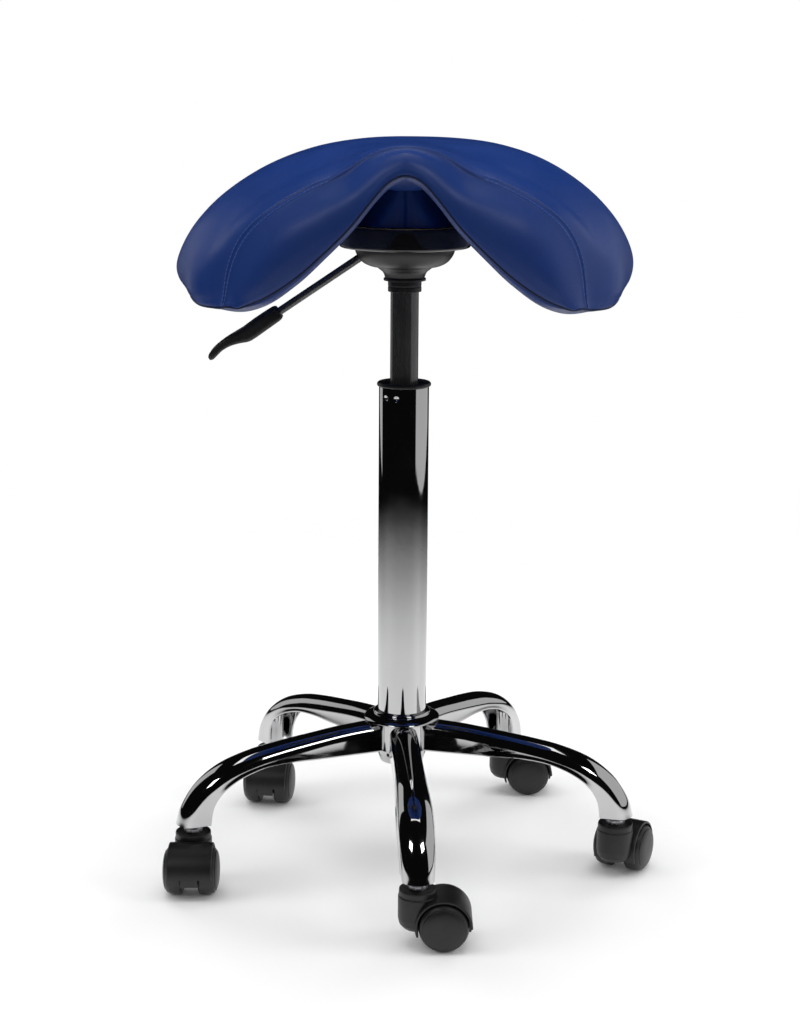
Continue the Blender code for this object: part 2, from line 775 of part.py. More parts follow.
def make_mechanism_housing():
    """Bowl-shaped cover: a short neck that flares out to the bowl, open at the top against the plate."""
    bore = socket_outer_radius() + FIT_GAP
    low = HOUSING_BOTTOM
    top = HOUSING_BOTTOM + HOUSING_HEIGHT
    neck = bore + HOUSING_WALL
    rim = HOUSING_RADIUS
    outside = [
        (rim, top),
        (rim, top - 0.0030),
        (rim - 0.0006, top - 0.0068),
        (rim - 0.0028, top - 0.0125),
        (rim - 0.0070, top - 0.0185),
        (rim - 0.0130, top - 0.0230),
        (rim - 0.0200, top - 0.0248),
        (neck + 0.0045, top - 0.0262),
        (neck + 0.0008, top - 0.0295),
        (neck, top - 0.0325),
        (neck + 0.0004, low + 0.0016),
        (neck, low),
    ]
    inside = [
        (bore, low),
        (bore, top - 0.0280),
        (neck + 0.0030, top - 0.0240),
        (rim - 0.0200, top - 0.0224),
        (rim - 0.0140, top - 0.0208),
        (rim - 0.0086, top - 0.0168),
        (rim - 0.0050, top - 0.0118),
        (rim - 0.0030, top - 0.0064),
        (rim - HOUSING_WALL, top - 0.0030),
        (rim - HOUSING_WALL, top),
    ]
    housing = turned("mechanism_housing", outside + inside, STEPS_LARGE)
    window_half = LEVER_RADIUS + EAR_GAP
    window = box(
        "lever_window",
        (-1.2 * HOUSING_RADIUS, -window_half, LEVER_HEIGHT - LEVER_RADIUS - 0.0050),
        (-0.6 * HOUSING_RADIUS, window_half, LEVER_HEIGHT + LEVER_RADIUS + 0.0030),
        CUTTERS,
    )
    window.parent = FRAME
    boolean(housing, window)
    finish(housing, BLACK_PLASTIC)


def screw_places():
    """Centres of the four screws, on a circle, away from the lever."""
    places = []
    for index in range(SCREW_COUNT):
        angle = math.radians(45) + index * 2 * math.pi / SCREW_COUNT
        places.append((SCREW_CIRCLE_RADIUS * math.cos(angle), SCREW_CIRCLE_RADIUS * math.sin(angle)))
    return places


def drill_screw_holes(obj, low, high):
    for number, (x, y) in enumerate(screw_places(), 1):
        drill = cylinder(
            f"{obj.name}_drill_{number}",
            SCREW_RADIUS + FIT_GAP,
            low,
            high,
            STEPS_SMALL,
            CUTTERS,
        )
        drill.location = (x, y, 0)
        drill.parent = FRAME
        boolean(obj, drill)


def make_mounting_plate():
    """Round dish that the seat's board drops into."""
    plate = turned(
        "mounting_plate",
        [
            (0, PLATE_BOTTOM + PLATE_FLOOR),
            (PLATE_RADIUS - PLATE_RIM, PLATE_BOTTOM + PLATE_FLOOR),
            (PLATE_RADIUS - PLATE_RIM, PLATE_TOP - 0.0010),
            (PLATE_RADIUS - PLATE_RIM + 0.0010, PLATE_TOP),
            (PLATE_RADIUS - 0.0016, PLATE_TOP),
            (PLATE_RADIUS - 0.0003, PLATE_TOP - 0.0022),
            (PLATE_RADIUS, PLATE_TOP - 0.0060),
            (PLATE_RADIUS - 0.0006, PLATE_BOTTOM + 0.0050),
            (PLATE_RADIUS - 0.0030, PLATE_BOTTOM + 0.0012),
            (PLATE_RADIUS - 0.0060, PLATE_BOTTOM),
            (0, PLATE_BOTTOM),
        ],
        STEPS_LARGE,
    )
    drill_screw_holes(plate, PLATE_BOTTOM - 0.01, PLATE_TOP)
    finish(plate, BLACK_ENAMEL)


def make_plate_screws():
    """Round-headed screws that hold the plate to the board from below."""
    head_top = PLATE_BOTTOM - FIT_GAP
    tip = BOARD_BOTTOM + SCREW_LENGTH_IN_BOARD
    shape = turned(
        "screw_shape",
        [
            (0, tip),
            (SCREW_RADIUS * 0.5, tip),
            (SCREW_RADIUS, tip - 0.0015),
            (SCREW_RADIUS, head_top),
            (SCREW_HEAD_RADIUS, head_top),
            (SCREW_HEAD_RADIUS, head_top - SCREW_HEAD_HEIGHT * 0.4),
            (SCREW_HEAD_RADIUS * 0.6, head_top - SCREW_HEAD_HEIGHT),
            (0, head_top - SCREW_HEAD_HEIGHT),
        ],
        STEPS_SMALL,
    )
    mesh = bake(shape)
    for number, (x, y) in enumerate(screw_places(), 1):
        screw = mesh_object(f"plate_screw_{number}", mesh)
        screw.location = (x, y, 0)
        finish(screw, STEEL)


def make_lever_pivot():
    """Two ears under the plate, joined by the pin that the lever rocks on."""
    inner = LEVER_RADIUS + EAR_GAP
    outer = inner + EAR_THICKNESS
    half = EAR_WIDTH / 2
    ear_low = LEVER_HEIGHT - half
    ear_top = PLATE_BOTTOM - FIT_GAP
    pin = along_y(
        cylinder("lever_pivot", PIVOT_RADIUS, -outer - 0.001, outer + 0.001, STEPS_SMALL),
        LEVER_PIVOT_X,
        LEVER_HEIGHT,
    )
    for side in (-1, 1):
        near, far = sorted((side * inner, side * outer))
        ear = box(
            f"pivot_ear_{side}",
            (LEVER_PIVOT_X - half, near, ear_low),
            (LEVER_PIVOT_X + half, far, ear_top),
            CUTTERS,
        )
        ear.parent = FRAME
        boolean(pin, ear, "UNION")
    finish(pin, STEEL)


# ---------------------------------------------------------------- lever


def lever_route():
    """Middle line of the rod: level from the pin to the bend, then down to inside the grip."""
    turn = LEVER_BEND_RADIUS * math.tan(LEVER_SLOPE / 2)
    start = Vector((0, 0, LEVER_HEIGHT))
    corner = Vector((LEVER_BEND_X, 0, LEVER_HEIGHT))
    points = [start, Vector((LEVER_PIVOT_X, 0, LEVER_HEIGHT))]
    centre = corner + Vector((turn, 0, -LEVER_BEND_RADIUS))
    for i in range(6):
        angle = LEVER_SLOPE * i / 5
        points.append(centre + LEVER_BEND_RADIUS * Vector((-math.sin(angle), 0, math.cos(angle))))
    points.append(lever_point(LEVER_IN_GRIP, 0))
    return points


def lever_point(along, up):
    """A point this far along the sloping part of the lever from the grip's start, and this far above it."""
    down = Vector((-math.cos(LEVER_SLOPE), 0, -math.sin(LEVER_SLOPE)))
    normal = Vector((-math.sin(LEVER_SLOPE), 0, math.cos(LEVER_SLOPE)))
    corner = Vector((LEVER_BEND_X, 0, LEVER_HEIGHT))
    grip_start = corner + down * ((LEVER_BEND_X - LEVER_GRIP_X) / math.cos(LEVER_SLOPE))
    return grip_start + down * along + normal * up


def lever_frame():
    """Empty on the lever's pivot axis: the lever's pieces hang on it."""
    pivot = bpy.data.objects.new("lever_axis", None)
    pivot.location = (LEVER_PIVOT_X, 0, LEVER_HEIGHT)
    pivot.parent = FRAME
    STOOL.objects.link(pivot)
    return pivot


def make_lever_rod(pivot):
    curve = bpy.data.curves.new("lever_rod_path", "CURVE")
    curve.dimensions = "3D"
    curve.bevel_depth = LEVER_RADIUS
    curve.bevel_resolution = 3
    curve.use_fill_caps = True
    route = lever_route()
    spline = curve.splines.new("POLY")
    spline.points.add(len(route) - 1)
    for point, place in zip(spline.points, route):
        point.co = (*place, 1)
    path = bpy.data.objects.new("lever_rod_path", curve)
    STOOL.objects.link(path)
    mesh = bake(path)
    mesh.transform(Matrix.Translation((-LEVER_PIVOT_X, 0, -LEVER_HEIGHT)))
    rod = mesh_object("lever_rod", mesh)
    drill = along_y(
        cylinder("lever_drill", PIVOT_RADIUS + RUN_GAP, -0.02, 0.02, STEPS_SMALL, CUTTERS)
    )
    drill.parent = pivot
    boolean(rod, drill)
    finish(rod, DARK_STEEL, pivot)


def grip_outline():
    """Side view of the grip as (along, up): a blunt collar, a paddle with a finger scoop, a hooked tip."""
    return [
        (0.0000, 0.0062),
        (0.0015, 0.0075),
        (0.0200, 0.0078),
        (0.0420, 0.0074),
        (0.0620, 0.0060),
        (0.0740, 0.0036),
        (0.0800, 0.0000),
        (0.0815, -0.0035),
        (0.0800, -0.0068),
        (0.0760, -0.0076),
        (0.0715, -0.0062),
        (0.0660, -0.0032),
        (0.0590, -0.0016),
        (0.0520, -0.0026),
        (0.0455, -0.0056),
        (0.0390, -0.0080),
        (0.0300, -0.0084),
        (0.0180, -0.0078),
        (0.0015, -0.0075),
        (0.0000, -0.0062),
    ]


def make_lever_grip(pivot):
    outline = [lever_point(along, up) for along, up in grip_outline()]
    curve = bpy.data.curves.new("grip_outline", "CURVE")
    curve.dimensions = "2D"
    curve.fill_mode = "BOTH"
    curve.extrude = GRIP_WIDTH / 2
    spline = curve.splines.new("POLY")
    spline.points.add(len(outline) - 1)
    spline.use_cyclic_u = True
    for point, place in zip(spline.points, outline):
        point.co = (place.x, place.z, 0, 1)
    flat = bpy.data.objects.new("grip_outline", curve)
    STOOL.objects.link(flat)
    mesh = bake(flat)
    mesh.transform(Matrix.Rotation(math.radians(90), 4, "X"))
    mesh.transform(Matrix.Translation((-LEVER_PIVOT_X, 0, -LEVER_HEIGHT)))
    grip = mesh_object("lever_grip", mesh)
    bevel = grip.modifiers.new("rounding", "BEVEL")
    bevel.width = GRIP_ROUNDING
    bevel.segments = 2
    bevel.limit_method = "ANGLE"
    bevel.angle_limit = math.radians(60)
    drill_end = LEVER_IN_GRIP + FIT_GAP
    drill = cylinder("grip_drill", LEVER_RADIUS + FIT_GAP, -0.01, drill_end, STEPS_MEDIUM, CUTTERS)
    down = Vector((-math.cos(LEVER_SLOPE), 0, -math.sin(LEVER_SLOPE)))
    drill.data.transform(down.to_track_quat("Z", "Y").to_matrix().to_4x4())
    drill.data.transform(Matrix.Translation(lever_point(0, 0) - pivot.location))
    drill.parent = pivot
    boolean(grip, drill)
    finish(grip, BLACK_PLASTIC, pivot)


# ---------------------------------------------------------------- seat


def make_seat_board():
    """Plywood disc in the plate's dish, which the screws bite into."""
    radius = PLATE_RADIUS - PLATE_RIM - FIT_GAP
    board = turned(
        "seat_board",
        [(0, BOARD_TOP), (radius, BOARD_TOP), (radius, BOARD_BOTTOM), (0, BOARD_BOTTOM)],
        STEPS_LARGE,
    )
    drill_screw_holes(board, BOARD_BOTTOM - 0.01, BOARD_BOTTOM + SCREW_LENGTH_IN_BOARD + FIT_GAP)
    finish(board, PLYWOOD)


def make_seat_block():
    """Upholstered keel between the board and the saddle: an oval block that narrows upward."""
    low = BOARD_TOP + FIT_GAP
    bm = bmesh.new()
    bmesh.ops.create_cone(
        bm,
        cap_ends=True,
        segments=STEPS_LARGE,
        radius1=1,
        radius2=1,
        depth=1,
        matrix=Matrix.Translation((0, 0, 0.5)),
    )
    for vert in bm.verts:
        at_top = vert.co.z > 0.5
        vert.co.x *= BLOCK_TOP_HALF_WIDTH if at_top else BLOCK_BOTTOM_HALF_WIDTH
        vert.co.y *= BLOCK_TOP_HALF_DEPTH if at_top else BLOCK_BOTTOM_HALF_DEPTH
        vert.co.z = low + vert.co.z * BLOCK_HEIGHT
    block = from_bmesh("seat_block", bm)
    bevel = block.modifiers.new("rounding", "BEVEL")
    bevel.width = BLOCK_ROUNDING
    bevel.segments = 2
    bevel.limit_method = "ANGLE"
    bevel.angle_limit = SHARP_ANGLE
    finish(block, VINYL)


def seat_half_rows(share):
    """Upper and lower half outline of the saddle at a share of its length from the front.

    Points are (outward, below the spine's top), from the spine to the lobe's edge. The front is a
    steep narrow arch and the rest is a broad dome.
    """
    arch = [(0, 0.001), (0.030, 0.006), (0.060, 0.024), (0.100, 0.043), (0.138, 0.070), (0.164, 0.108)]
    dome = [(0, 0.000), (0.048, 0.002), (0.096, 0.010), (0.146, 0.029), (0.190, 0.062), (0.218, 0.108)]
    arch_under = [
        (0, 0.025),
        (0.022, 0.040),
        (0.052, 0.074),
        (0.085, 0.108),
        (0.122, 0.139),
        (0.156, 0.148),
    ]
    dome_under = [
        (0, 0.042),
        (0.040, 0.045),
        (0.072, 0.074),
        (0.108, 0.106),
        (0.150, 0.133),
        (0.198, 0.150),
    ]
    blend = min(1.0, share / SADDLE_DOME_SHARE)
    blend = blend * blend * (3 - 2 * blend)

    def mix(a, b):
        return [(p[0] + (q[0] - p[0]) * blend, p[1] + (q[1] - p[1]) * blend) for p, q in zip(a, b)]

    return mix(arch, dome), mix(arch_under, dome_under)


def seat_stations():
    """(share of length, width factor, drop of the whole section) from front to rear."""
    return [
        (0.00, 0.96, 0.000),
        (0.12, 1.02, 0.000),
        (0.30, 1.03, 0.000),
        (0.50, 1.02, 0.000),
        (0.70, 1.00, 0.000),
        (0.87, 0.94, 0.003),
        (1.00, 0.76, 0.014),
    ]


def make_seat_cushion():
    """Saddle cushion: an upper and a lower grid that meet in a wall all round, softened by subdivision."""
    bm = bmesh.new()
    upper_grid = []
    lower_grid = []
    for share, width, drop in seat_stations():
        y = SEAT_FRONT + share * (SEAT_REAR - SEAT_FRONT)
        scale = width * SEAT_HALF_WIDTH / SADDLE_PATTERN_HALF_WIDTH
        for grid, half in zip((upper_grid, lower_grid), seat_half_rows(share)):
            lean = SEAT_FRONT_LEAN if grid is upper_grid and share == 0 else 0
            left = [(-x * scale, y + lean, SPINE_TOP - drop - depth) for x, depth in half[:0:-1]]
            right = [(x * scale, y + lean, SPINE_TOP - drop - depth) for x, depth in half]
            grid.append([bm.verts.new(place) for place in left + right])
    rows = len(upper_grid)
    count = len(upper_grid[0])
    for row in range(rows - 1):
        top, next_top = upper_grid[row], upper_grid[row + 1]
        under, next_under = lower_grid[row], lower_grid[row + 1]
        for i in range(count - 1):
            bm.faces.new((top[i], top[i + 1], next_top[i + 1], next_top[i]))
            bm.faces.new((under[i], next_under[i], next_under[i + 1], under[i + 1]))
        for side in (0, count - 1):
            bm.faces.new((top[side], next_top[side], next_under[side], under[side]))
    for top, under in ((upper_grid[0], lower_grid[0]), (upper_grid[-1], lower_grid[-1])):
        for i in range(count - 1):
            bm.faces.new((top[i], top[i + 1], under[i + 1], under[i]))
    cushion = from_bmesh("seat_cushion", bm)
    cushion.data.shade_smooth()
    soften = cushion.modifiers.new("soften", "SUBSURF")
    soften.levels = 1
    soften.render_levels = 1
    finish(cushion, VINYL)


# ---------------------------------------------------------------- casters


def make_hood_mesh():
    """Caster hood about its stem axis, trailing towards +X: tower, web and drum over both wheels."""
    drum = along_y(
        cylinder("hood_drum", HOOD_RADIUS, -HOOD_HALF_WIDTH, HOOD_HALF_WIDTH, STEPS_LARGE),
        TRAIL,
        WHEEL_RADIUS,
    )
    tower = turned(
        "hood_tower",
        [
            (0, TOWER_TOP),
            (TOWER_RADIUS - 0.0020, TOWER_TOP),
            (TOWER_RADIUS, TOWER_TOP - 0.0020),
            (TOWER_RADIUS, TOWER_SKIRT),
            (0, TOWER_SKIRT),
        ],
        STEPS_LARGE,
    )
    boolean(drum, tower, "UNION")
    used = [tower]
    for side in (-1, 1):
        near, far = sorted((side * WEB_HALF_WIDTH, side * 2 * HOOD_HALF_WIDTH))
        space = along_y(
            cylinder(f"wheel_space_{side}", HOOD_INNER_RADIUS, near, far, STEPS_LARGE),
            TRAIL,
            WHEEL_RADIUS,
        )
        boolean(drum, space)
        used.append(space)
    below = box("hood_below", (-0.1, -0.1, -0.1), (0.1, 0.1, TOWER_SKIRT + 0.0004))
    axle_hole = along_y(
        cylinder("axle_hole", AXLE_RADIUS + RUN_GAP, -0.05, 0.05, STEPS_SMALL),
        TRAIL,
        WHEEL_RADIUS,
    )
    stem_hole = cylinder(
        "stem_hole",
        STEM_RADIUS + RUN_GAP,
        TOWER_TOP - STEM_IN_TOWER - FIT_GAP,
        TOWER_TOP + 0.01,
        STEPS_SMALL,
    )
    for cutter in (below, axle_hole, stem_hole):
        boolean(drum, cutter)
        used.append(cutter)
    return bake(drum, *used)


def make_wheel_mesh(side):
    """One wheel about its own centre line: flat tread, bulging outer face and a blind hole for the axle."""
    inner = WEB_HALF_WIDTH + 0.0006
    outer = WHEEL_OUTER_FACE
    bore = AXLE_RADIUS + FIT_GAP
    radius = WHEEL_RADIUS
    wheel = turned(
        "wheel_shape",
        [
            (0, outer),
            (radius * 0.30, outer - 0.0002),
            (radius * 0.66, outer - 0.0017),
            (radius * 0.88, outer - 0.0044),
            (radius * 0.98, outer - 0.0076),
            (radius, outer - 0.0105),
            (radius, inner + 0.0015),
            (radius - 0.0015, inner),
            (bore, inner),
            (bore, outer - AXLE_END_MARGIN + FIT_GAP),
            (0, outer - AXLE_END_MARGIN + FIT_GAP),
        ],
        STEPS_LARGE,
    )
    mesh = bake(wheel)
    mesh.transform(Matrix.Rotation(math.radians(-90 * side), 4, "X"))
    return mesh


def make_stem_mesh():
    """Caster stem about its own axis: a groove at the foot, a flange on the hood, a ring in the socket."""
    low = TOWER_TOP - STEM_IN_TOWER
    flange = TOWER_TOP + FIT_GAP
    flange_top = flange + STEM_FLANGE_THICKNESS
    top = ARM_TIP + STEM_IN_SOCKET
    stem = turned(
        "stem_shape",
        [
            (0, top),
            (STEM_RADIUS * 0.55, top),
            (STEM_RADIUS * 0.62, top - 0.0030),
            (STEM_RADIUS, top - 0.0050),
            (STEM_RADIUS, top - 0.0080),
            (STEM_RADIUS * 0.84, top - 0.0085),
            (STEM_RADIUS * 0.84, flange_top + 0.0060),
            (STEM_RADIUS, flange_top + 0.0050),
            (STEM_RADIUS, flange_top),
            (STEM_FLANGE_RADIUS, flange_top),
            (STEM_FLANGE_RADIUS, flange),
            (STEM_RADIUS, flange),
            (STEM_RADIUS, low + 0.0050),
            (STEM_RADIUS * 0.80, low + 0.0045),
            (STEM_RADIUS * 0.80, low + 0.0030),
            (STEM_RADIUS, low + 0.0025),
            (STEM_RADIUS, low + 0.0010),
            (STEM_RADIUS * 0.80, low),
            (0, low),
        ],
        STEPS_SMALL,
    )
    return bake(stem)


def make_casters():
    hood_mesh = make_hood_mesh()
    wheel_meshes = {"left": make_wheel_mesh(1), "right": make_wheel_mesh(-1)}
    stem_mesh = make_stem_mesh()
    axle_half = WHEEL_OUTER_FACE - AXLE_END_MARGIN
    axle_mesh = bake(
        along_y(cylinder("axle_shape", AXLE_RADIUS, -axle_half, axle_half, STEPS_SMALL))
    )
    for index, heading in enumerate(CASTER_HEADINGS):
        number = index + 1
        angle = arm_angle(index)
        stem_axis = bpy.data.objects.new(f"caster_axis_{number}", None)
        stem_axis.location = (
            STEM_CIRCLE_RADIUS * math.sin(angle),
            -STEM_CIRCLE_RADIUS * math.cos(angle),
            0,
        )
        stem_axis.rotation_euler.z = heading
        stem_axis.parent = FRAME
        STOOL.objects.link(stem_axis)
        axle_axis = bpy.data.objects.new(f"axle_axis_{number}", None)
        axle_axis.location = (TRAIL, 0, WHEEL_RADIUS)
        axle_axis.parent = stem_axis
        STOOL.objects.link(axle_axis)
        finish(mesh_object(f"caster_stem_{number}", stem_mesh), STEEL, stem_axis)
        finish(mesh_object(f"caster_hood_{number}", hood_mesh), BLACK_PLASTIC, stem_axis)
        finish(mesh_object(f"caster_axle_{number}", axle_mesh), STEEL, axle_axis)
        for side, mesh in wheel_meshes.items():
            finish(mesh_object(f"wheel_{side}_{number}", mesh), BLACK_PLASTIC, axle_axis)


def build():
    make_hub()
    make_collar()
    make_arms()
    make_stem_sockets()
    make_column_tube()
    make_guide_bush()
    make_thrust_bearing()
    make_piston_rod()
    make_retaining_clip()
    make_bump_stop()
    make_gas_cylinder()
    make_rod_seal()
    make_release_pin()
    make_neck_collar()
    make_taper_socket()
    make_mechanism_housing()
    make_mounting_plate()
    make_plate_screws()
    make_lever_pivot()
    pivot = lever_frame()
    make_lever_rod(pivot)
    make_lever_grip(pivot)
    make_seat_board()
    make_seat_block()
    make_seat_cushion()
    make_casters()


build()
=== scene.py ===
"""Looks of the saddle stool: fine shells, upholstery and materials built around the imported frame.

Everything is in metres in the frame's own axes: +Z up, the front of the seat towards -Y, the column
on the Z axis. Outlines of the saddle are written in millimetres above the mounting plate's rim.
"""

import math

import bmesh
import bpy
import numpy as np
from mathutils import Matrix, Vector
from mathutils.bvhtree import BVHTree


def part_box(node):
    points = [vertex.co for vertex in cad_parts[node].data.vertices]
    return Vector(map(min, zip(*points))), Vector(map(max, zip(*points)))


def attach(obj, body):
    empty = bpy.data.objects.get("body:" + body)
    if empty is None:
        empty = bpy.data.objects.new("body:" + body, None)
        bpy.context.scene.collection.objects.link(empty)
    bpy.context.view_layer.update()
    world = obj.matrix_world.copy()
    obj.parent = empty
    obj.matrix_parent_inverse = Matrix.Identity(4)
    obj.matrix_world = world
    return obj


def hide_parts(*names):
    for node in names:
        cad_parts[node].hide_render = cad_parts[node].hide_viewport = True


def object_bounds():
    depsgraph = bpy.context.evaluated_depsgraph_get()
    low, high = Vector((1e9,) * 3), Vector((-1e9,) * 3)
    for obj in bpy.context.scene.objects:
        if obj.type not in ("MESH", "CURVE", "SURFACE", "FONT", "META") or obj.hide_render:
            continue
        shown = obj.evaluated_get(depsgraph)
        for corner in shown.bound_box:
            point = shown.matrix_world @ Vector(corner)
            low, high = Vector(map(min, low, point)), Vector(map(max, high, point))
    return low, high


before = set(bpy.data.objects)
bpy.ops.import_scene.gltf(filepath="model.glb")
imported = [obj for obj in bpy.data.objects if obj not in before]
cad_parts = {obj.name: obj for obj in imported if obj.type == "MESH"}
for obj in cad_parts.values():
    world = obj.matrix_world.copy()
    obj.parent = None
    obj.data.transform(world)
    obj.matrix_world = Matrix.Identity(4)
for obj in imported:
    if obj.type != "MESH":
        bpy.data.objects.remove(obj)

CAD_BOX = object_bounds()
FLOOR = CAD_BOX[0].z
MM = 0.001
CASTERS = range(1, 6)

ROUND = 96  # steps round a turned piece that is seen large
SMALL_ROUND = 40
CLEARANCE = 0.0003


# ---- materials


def feed(tree, sockets, values):
    """Sets each plain value on its socket, and links each output to its socket."""
    for key, value in values.items():
        if isinstance(value, bpy.types.NodeSocket):
            tree.links.new(value, sockets[key])
        else:
            sockets[key].default_value = value


class Look:
    """A node material with short calls for the textures that its finish is made of."""

    def __init__(self, name, colour, roughness, metallic=0.0, specular=0.5):
        self.material = bpy.data.materials.new(name)
        self.material.use_nodes = True
        self.tree = self.material.node_tree
        self.place = self.texture("TexCoord", "Object", {})
        self.normal = None
        self.finish({"Base Color": (*colour, 1), "Roughness": roughness})
        self.finish({"Metallic": metallic, "Specular IOR Level": specular})

    def finish(self, values):
        feed(self.tree, self.tree.nodes["Principled BSDF"].inputs, values)

    def texture(self, kind, output, values):
        node = self.tree.nodes.new("ShaderNode" + kind)
        feed(self.tree, node.inputs, values)
        return node.outputs[output]

    def noise(self, scale, detail=3.0, stretch=(1, 1, 1), roughness=0.5):
        place = self.texture("Mapping", "Vector", {"Scale": stretch, "Vector": self.place})
        values = {"Scale": scale, "Detail": detail, "Roughness": roughness, "Vector": place}
        return self.texture("TexNoise", "Fac", values)

    def map(self, source, to_low, to_high, low=0.3, high=0.7):
        values = {"From Min": low, "From Max": high, "To Min": to_low, "To Max": to_high, "Value": source}
        return self.texture("MapRange", "Result", values)

    def sheen(self, source, *ends):
        self.finish({"Roughness": self.map(source, *ends)})

    def sum(self, a, b):
        return self.texture("Math", "Value", {0: a, 1: b})

    def colours(self, factor, first, second):
        node = self.tree.nodes.new("ShaderNodeMix")
        node.data_type = "RGBA"
        feed(self.tree, node.inputs, {"A": (*first, 1), "B": (*second, 1), "Factor": factor})
        self.finish({"Base Color": node.outputs["Result"]})

    def clouds(self, source, first, second):
        """A texture that runs between two colours."""
        self.colours(self.map(source, 0, 1), first, second)

    def edges(self, low, high):
        """Where the surface bends outward: 0 on flats, 1 on worn edges."""
        return self.map(self.texture("NewGeometry", "Pointiness", {}), 0, 1, low, high)

    def bump(self, height, strength, distance):
        values = {"Strength": strength, "Distance": distance, "Height": height}
        if self.normal:
            values["Normal"] = self.normal
        self.normal = self.texture("Bump", "Normal", values)
        self.finish({"Normal": self.normal})


def chrome_look():
    look = Look("chrome", (0.53, 0.53, 0.535), 0.05, 1.0)
    look.sheen(look.noise(38, 4), 0.025, 0.085, 0.3, 0.75)
    look.clouds(look.noise(7, 2), (0.50, 0.50, 0.505), (0.56, 0.56, 0.565))
    look.bump(look.noise(55, 2), 0.05, 0.0004)
    look.bump(look.noise(900, 2), 0.03, 0.00005)
    return look.material


def drawn_steel(look, fine, stretch, sheen, coarse, colours, strength):
    """Steel with fine marks along its length and slow changes of shade."""
    marks = look.noise(fine, 4, (1, 1, stretch))
    look.sheen(marks, *sheen)
    look.clouds(look.noise(coarse, 3), *colours)
    look.bump(marks, strength, 0.0002)
    return look.material


def steel_look():
    colours = (0.46, 0.47, 0.49), (0.58, 0.59, 0.61)
    look = Look("zinc_steel", (0.52, 0.53, 0.55), 0.3, 1.0)
    return drawn_steel(look, 260, 0.08, (0.22, 0.4), 60, colours, 0.12)


def dark_steel_look():
    colours = (0.085, 0.085, 0.088), (0.125, 0.125, 0.128)
    look = Look("black_chromed_steel", (0.10, 0.10, 0.103), 0.27, 0.8)
    return drawn_steel(look, 320, 0.03, (0.2, 0.34), 24, colours, 0.1)


def enamel_look():
    look = Look("black_enamel", (0.008, 0.008, 0.009), 0.14)
    look.sheen(look.noise(45, 4), 0.1, 0.2)
    look.colours(look.edges(0.53, 0.6), (0.0075, 0.0075, 0.0085), (0.020, 0.020, 0.021))
    look.bump(look.noise(420, 2), 0.09, 0.0003)
    look.finish({"Coat Weight": 0.5, "Coat Roughness": 0.08})
    return look.material


def plastic_look(name, grey, grain, roughness, strength):
    """Moulded plastic: a spark-eroded grain, a slightly uneven sheen, and paler rubbed edges."""
    look = Look(name, (grey, grey, grey), roughness)
    spark = look.noise(grain, 3, roughness=0.7)
    cloud = look.map(look.noise(30, 3), -0.05, 0.06)
    look.finish({"Roughness": look.sum(cloud, roughness)})
    pale = min(1.0, grey * 2.4)
    look.colours(look.edges(0.52, 0.62), (grey, grey, grey * 1.03), (pale, pale, pale))
    look.bump(spark, strength, 0.0003)
    return look.material


def rubber_look():
    look = Look("black_rubber", (0.022, 0.022, 0.022), 0.8)
    look.sheen(look.noise(70, 3), 0.7, 0.88)
    look.bump(look.noise(1500, 2), 0.2, 0.0003)
    return look.material


def plywood_look():
    look = Look("birch_plywood", (0.5, 0.34, 0.18), 0.62)
    grain = look.noise(30, 6, (1, 14, 55))
    look.clouds(grain, (0.34, 0.21, 0.10), (0.62, 0.45, 0.26))
    look.sheen(grain, 0.5, 0.72)
    look.bump(grain, 0.3, 0.0006)
    return look.material


def vinyl_look(name, shade, gloss):
    """Upholstery vinyl: a pebbled grain of small cells over finer pores, with a soft uneven sheen."""
    look = Look(name, (0.006, 0.036, 0.20), gloss, specular=0.3)
    pebbles = look.texture("TexVoronoi", "Distance", {"Scale": 1150, "Vector": look.place})
    # shade scales the colour down; below 1 it is painted shade, for copies of this vinyl that stand in
    # shadow.
    first = tuple(shade * part for part in (0.0048, 0.0252, 0.136))
    second = tuple(shade * part for part in (0.0064, 0.0303, 0.161))
    look.clouds(look.noise(9, 4), first, second)
    uneven = look.map(look.noise(26, 4), -0.05, 0.05)
    grain = look.map(pebbles, 0.03, -0.04, 0.1, 0.7)
    look.finish({"Roughness": look.sum(look.sum(uneven, grain), gloss)})
    look.bump(pebbles, 0.16, 0.0005)
    look.bump(look.noise(2600, 3), 0.08, 0.0002)
    return look.material


def thread_look():
    look = Look("thread", (0.02, 0.045, 0.22), 0.6)
    twist = look.noise(1400, 2)
    look.clouds(twist, (0.030, 0.075, 0.28), (0.055, 0.115, 0.38))
    look.bump(twist, 0.3, 0.0003)
    return look.material


CHROME = chrome_look()
STEEL = steel_look()
DARK_STEEL = dark_steel_look()
ENAMEL = enamel_look()
COVER_PLASTIC = plastic_look("satin_black_plastic", 0.010, 1300, 0.36, 0.10)
GRIP_PLASTIC = plastic_look("moulded_grip_plastic", 0.007, 1500, 0.42, 0.16)
NYLON = plastic_look("grained_black_nylon", 0.0055, 1100, 0.42, 0.22)
TREAD = plastic_look("wheel_nylon", 0.0065, 1400, 0.40, 0.16)
RUBBER = rubber_look()
PLYWOOD = plywood_look()
VINYL = vinyl_look("blue_vinyl", 1.0, 0.42)
# Painted shade: the keel's vinyl is the blue vinyl made a little darker, for the keel in shadow under the
# seat.
SHADED_VINYL = vinyl_look("blue_vinyl_painted_shade", 0.95, 0.5)
# Painted shade: the piping's vinyl is the blue vinyl darkened to a quarter, for the dark line where the edge
# is tucked in shade.
SHADOW_LINE_VINYL = vinyl_look("blue_vinyl_painted_shadow_line", 0.25, 0.55)
THREAD = thread_look()


# ---- mesh helpers


def add_mesh(name, mesh):
    obj = bpy.data.objects.new(name, mesh)
    bpy.context.scene.collection.objects.link(obj)
    return obj


def set_all(thing, **values):
    for name, value in values.items():
        setattr(thing, name, value)


def smoothed(mesh, sharp):
    """Shades a mesh smooth, but for edges that bend by more than this many degrees."""
    mesh.shade_smooth()
    mesh.set_sharp_from_angle(angle=math.radians(sharp))
    return mesh


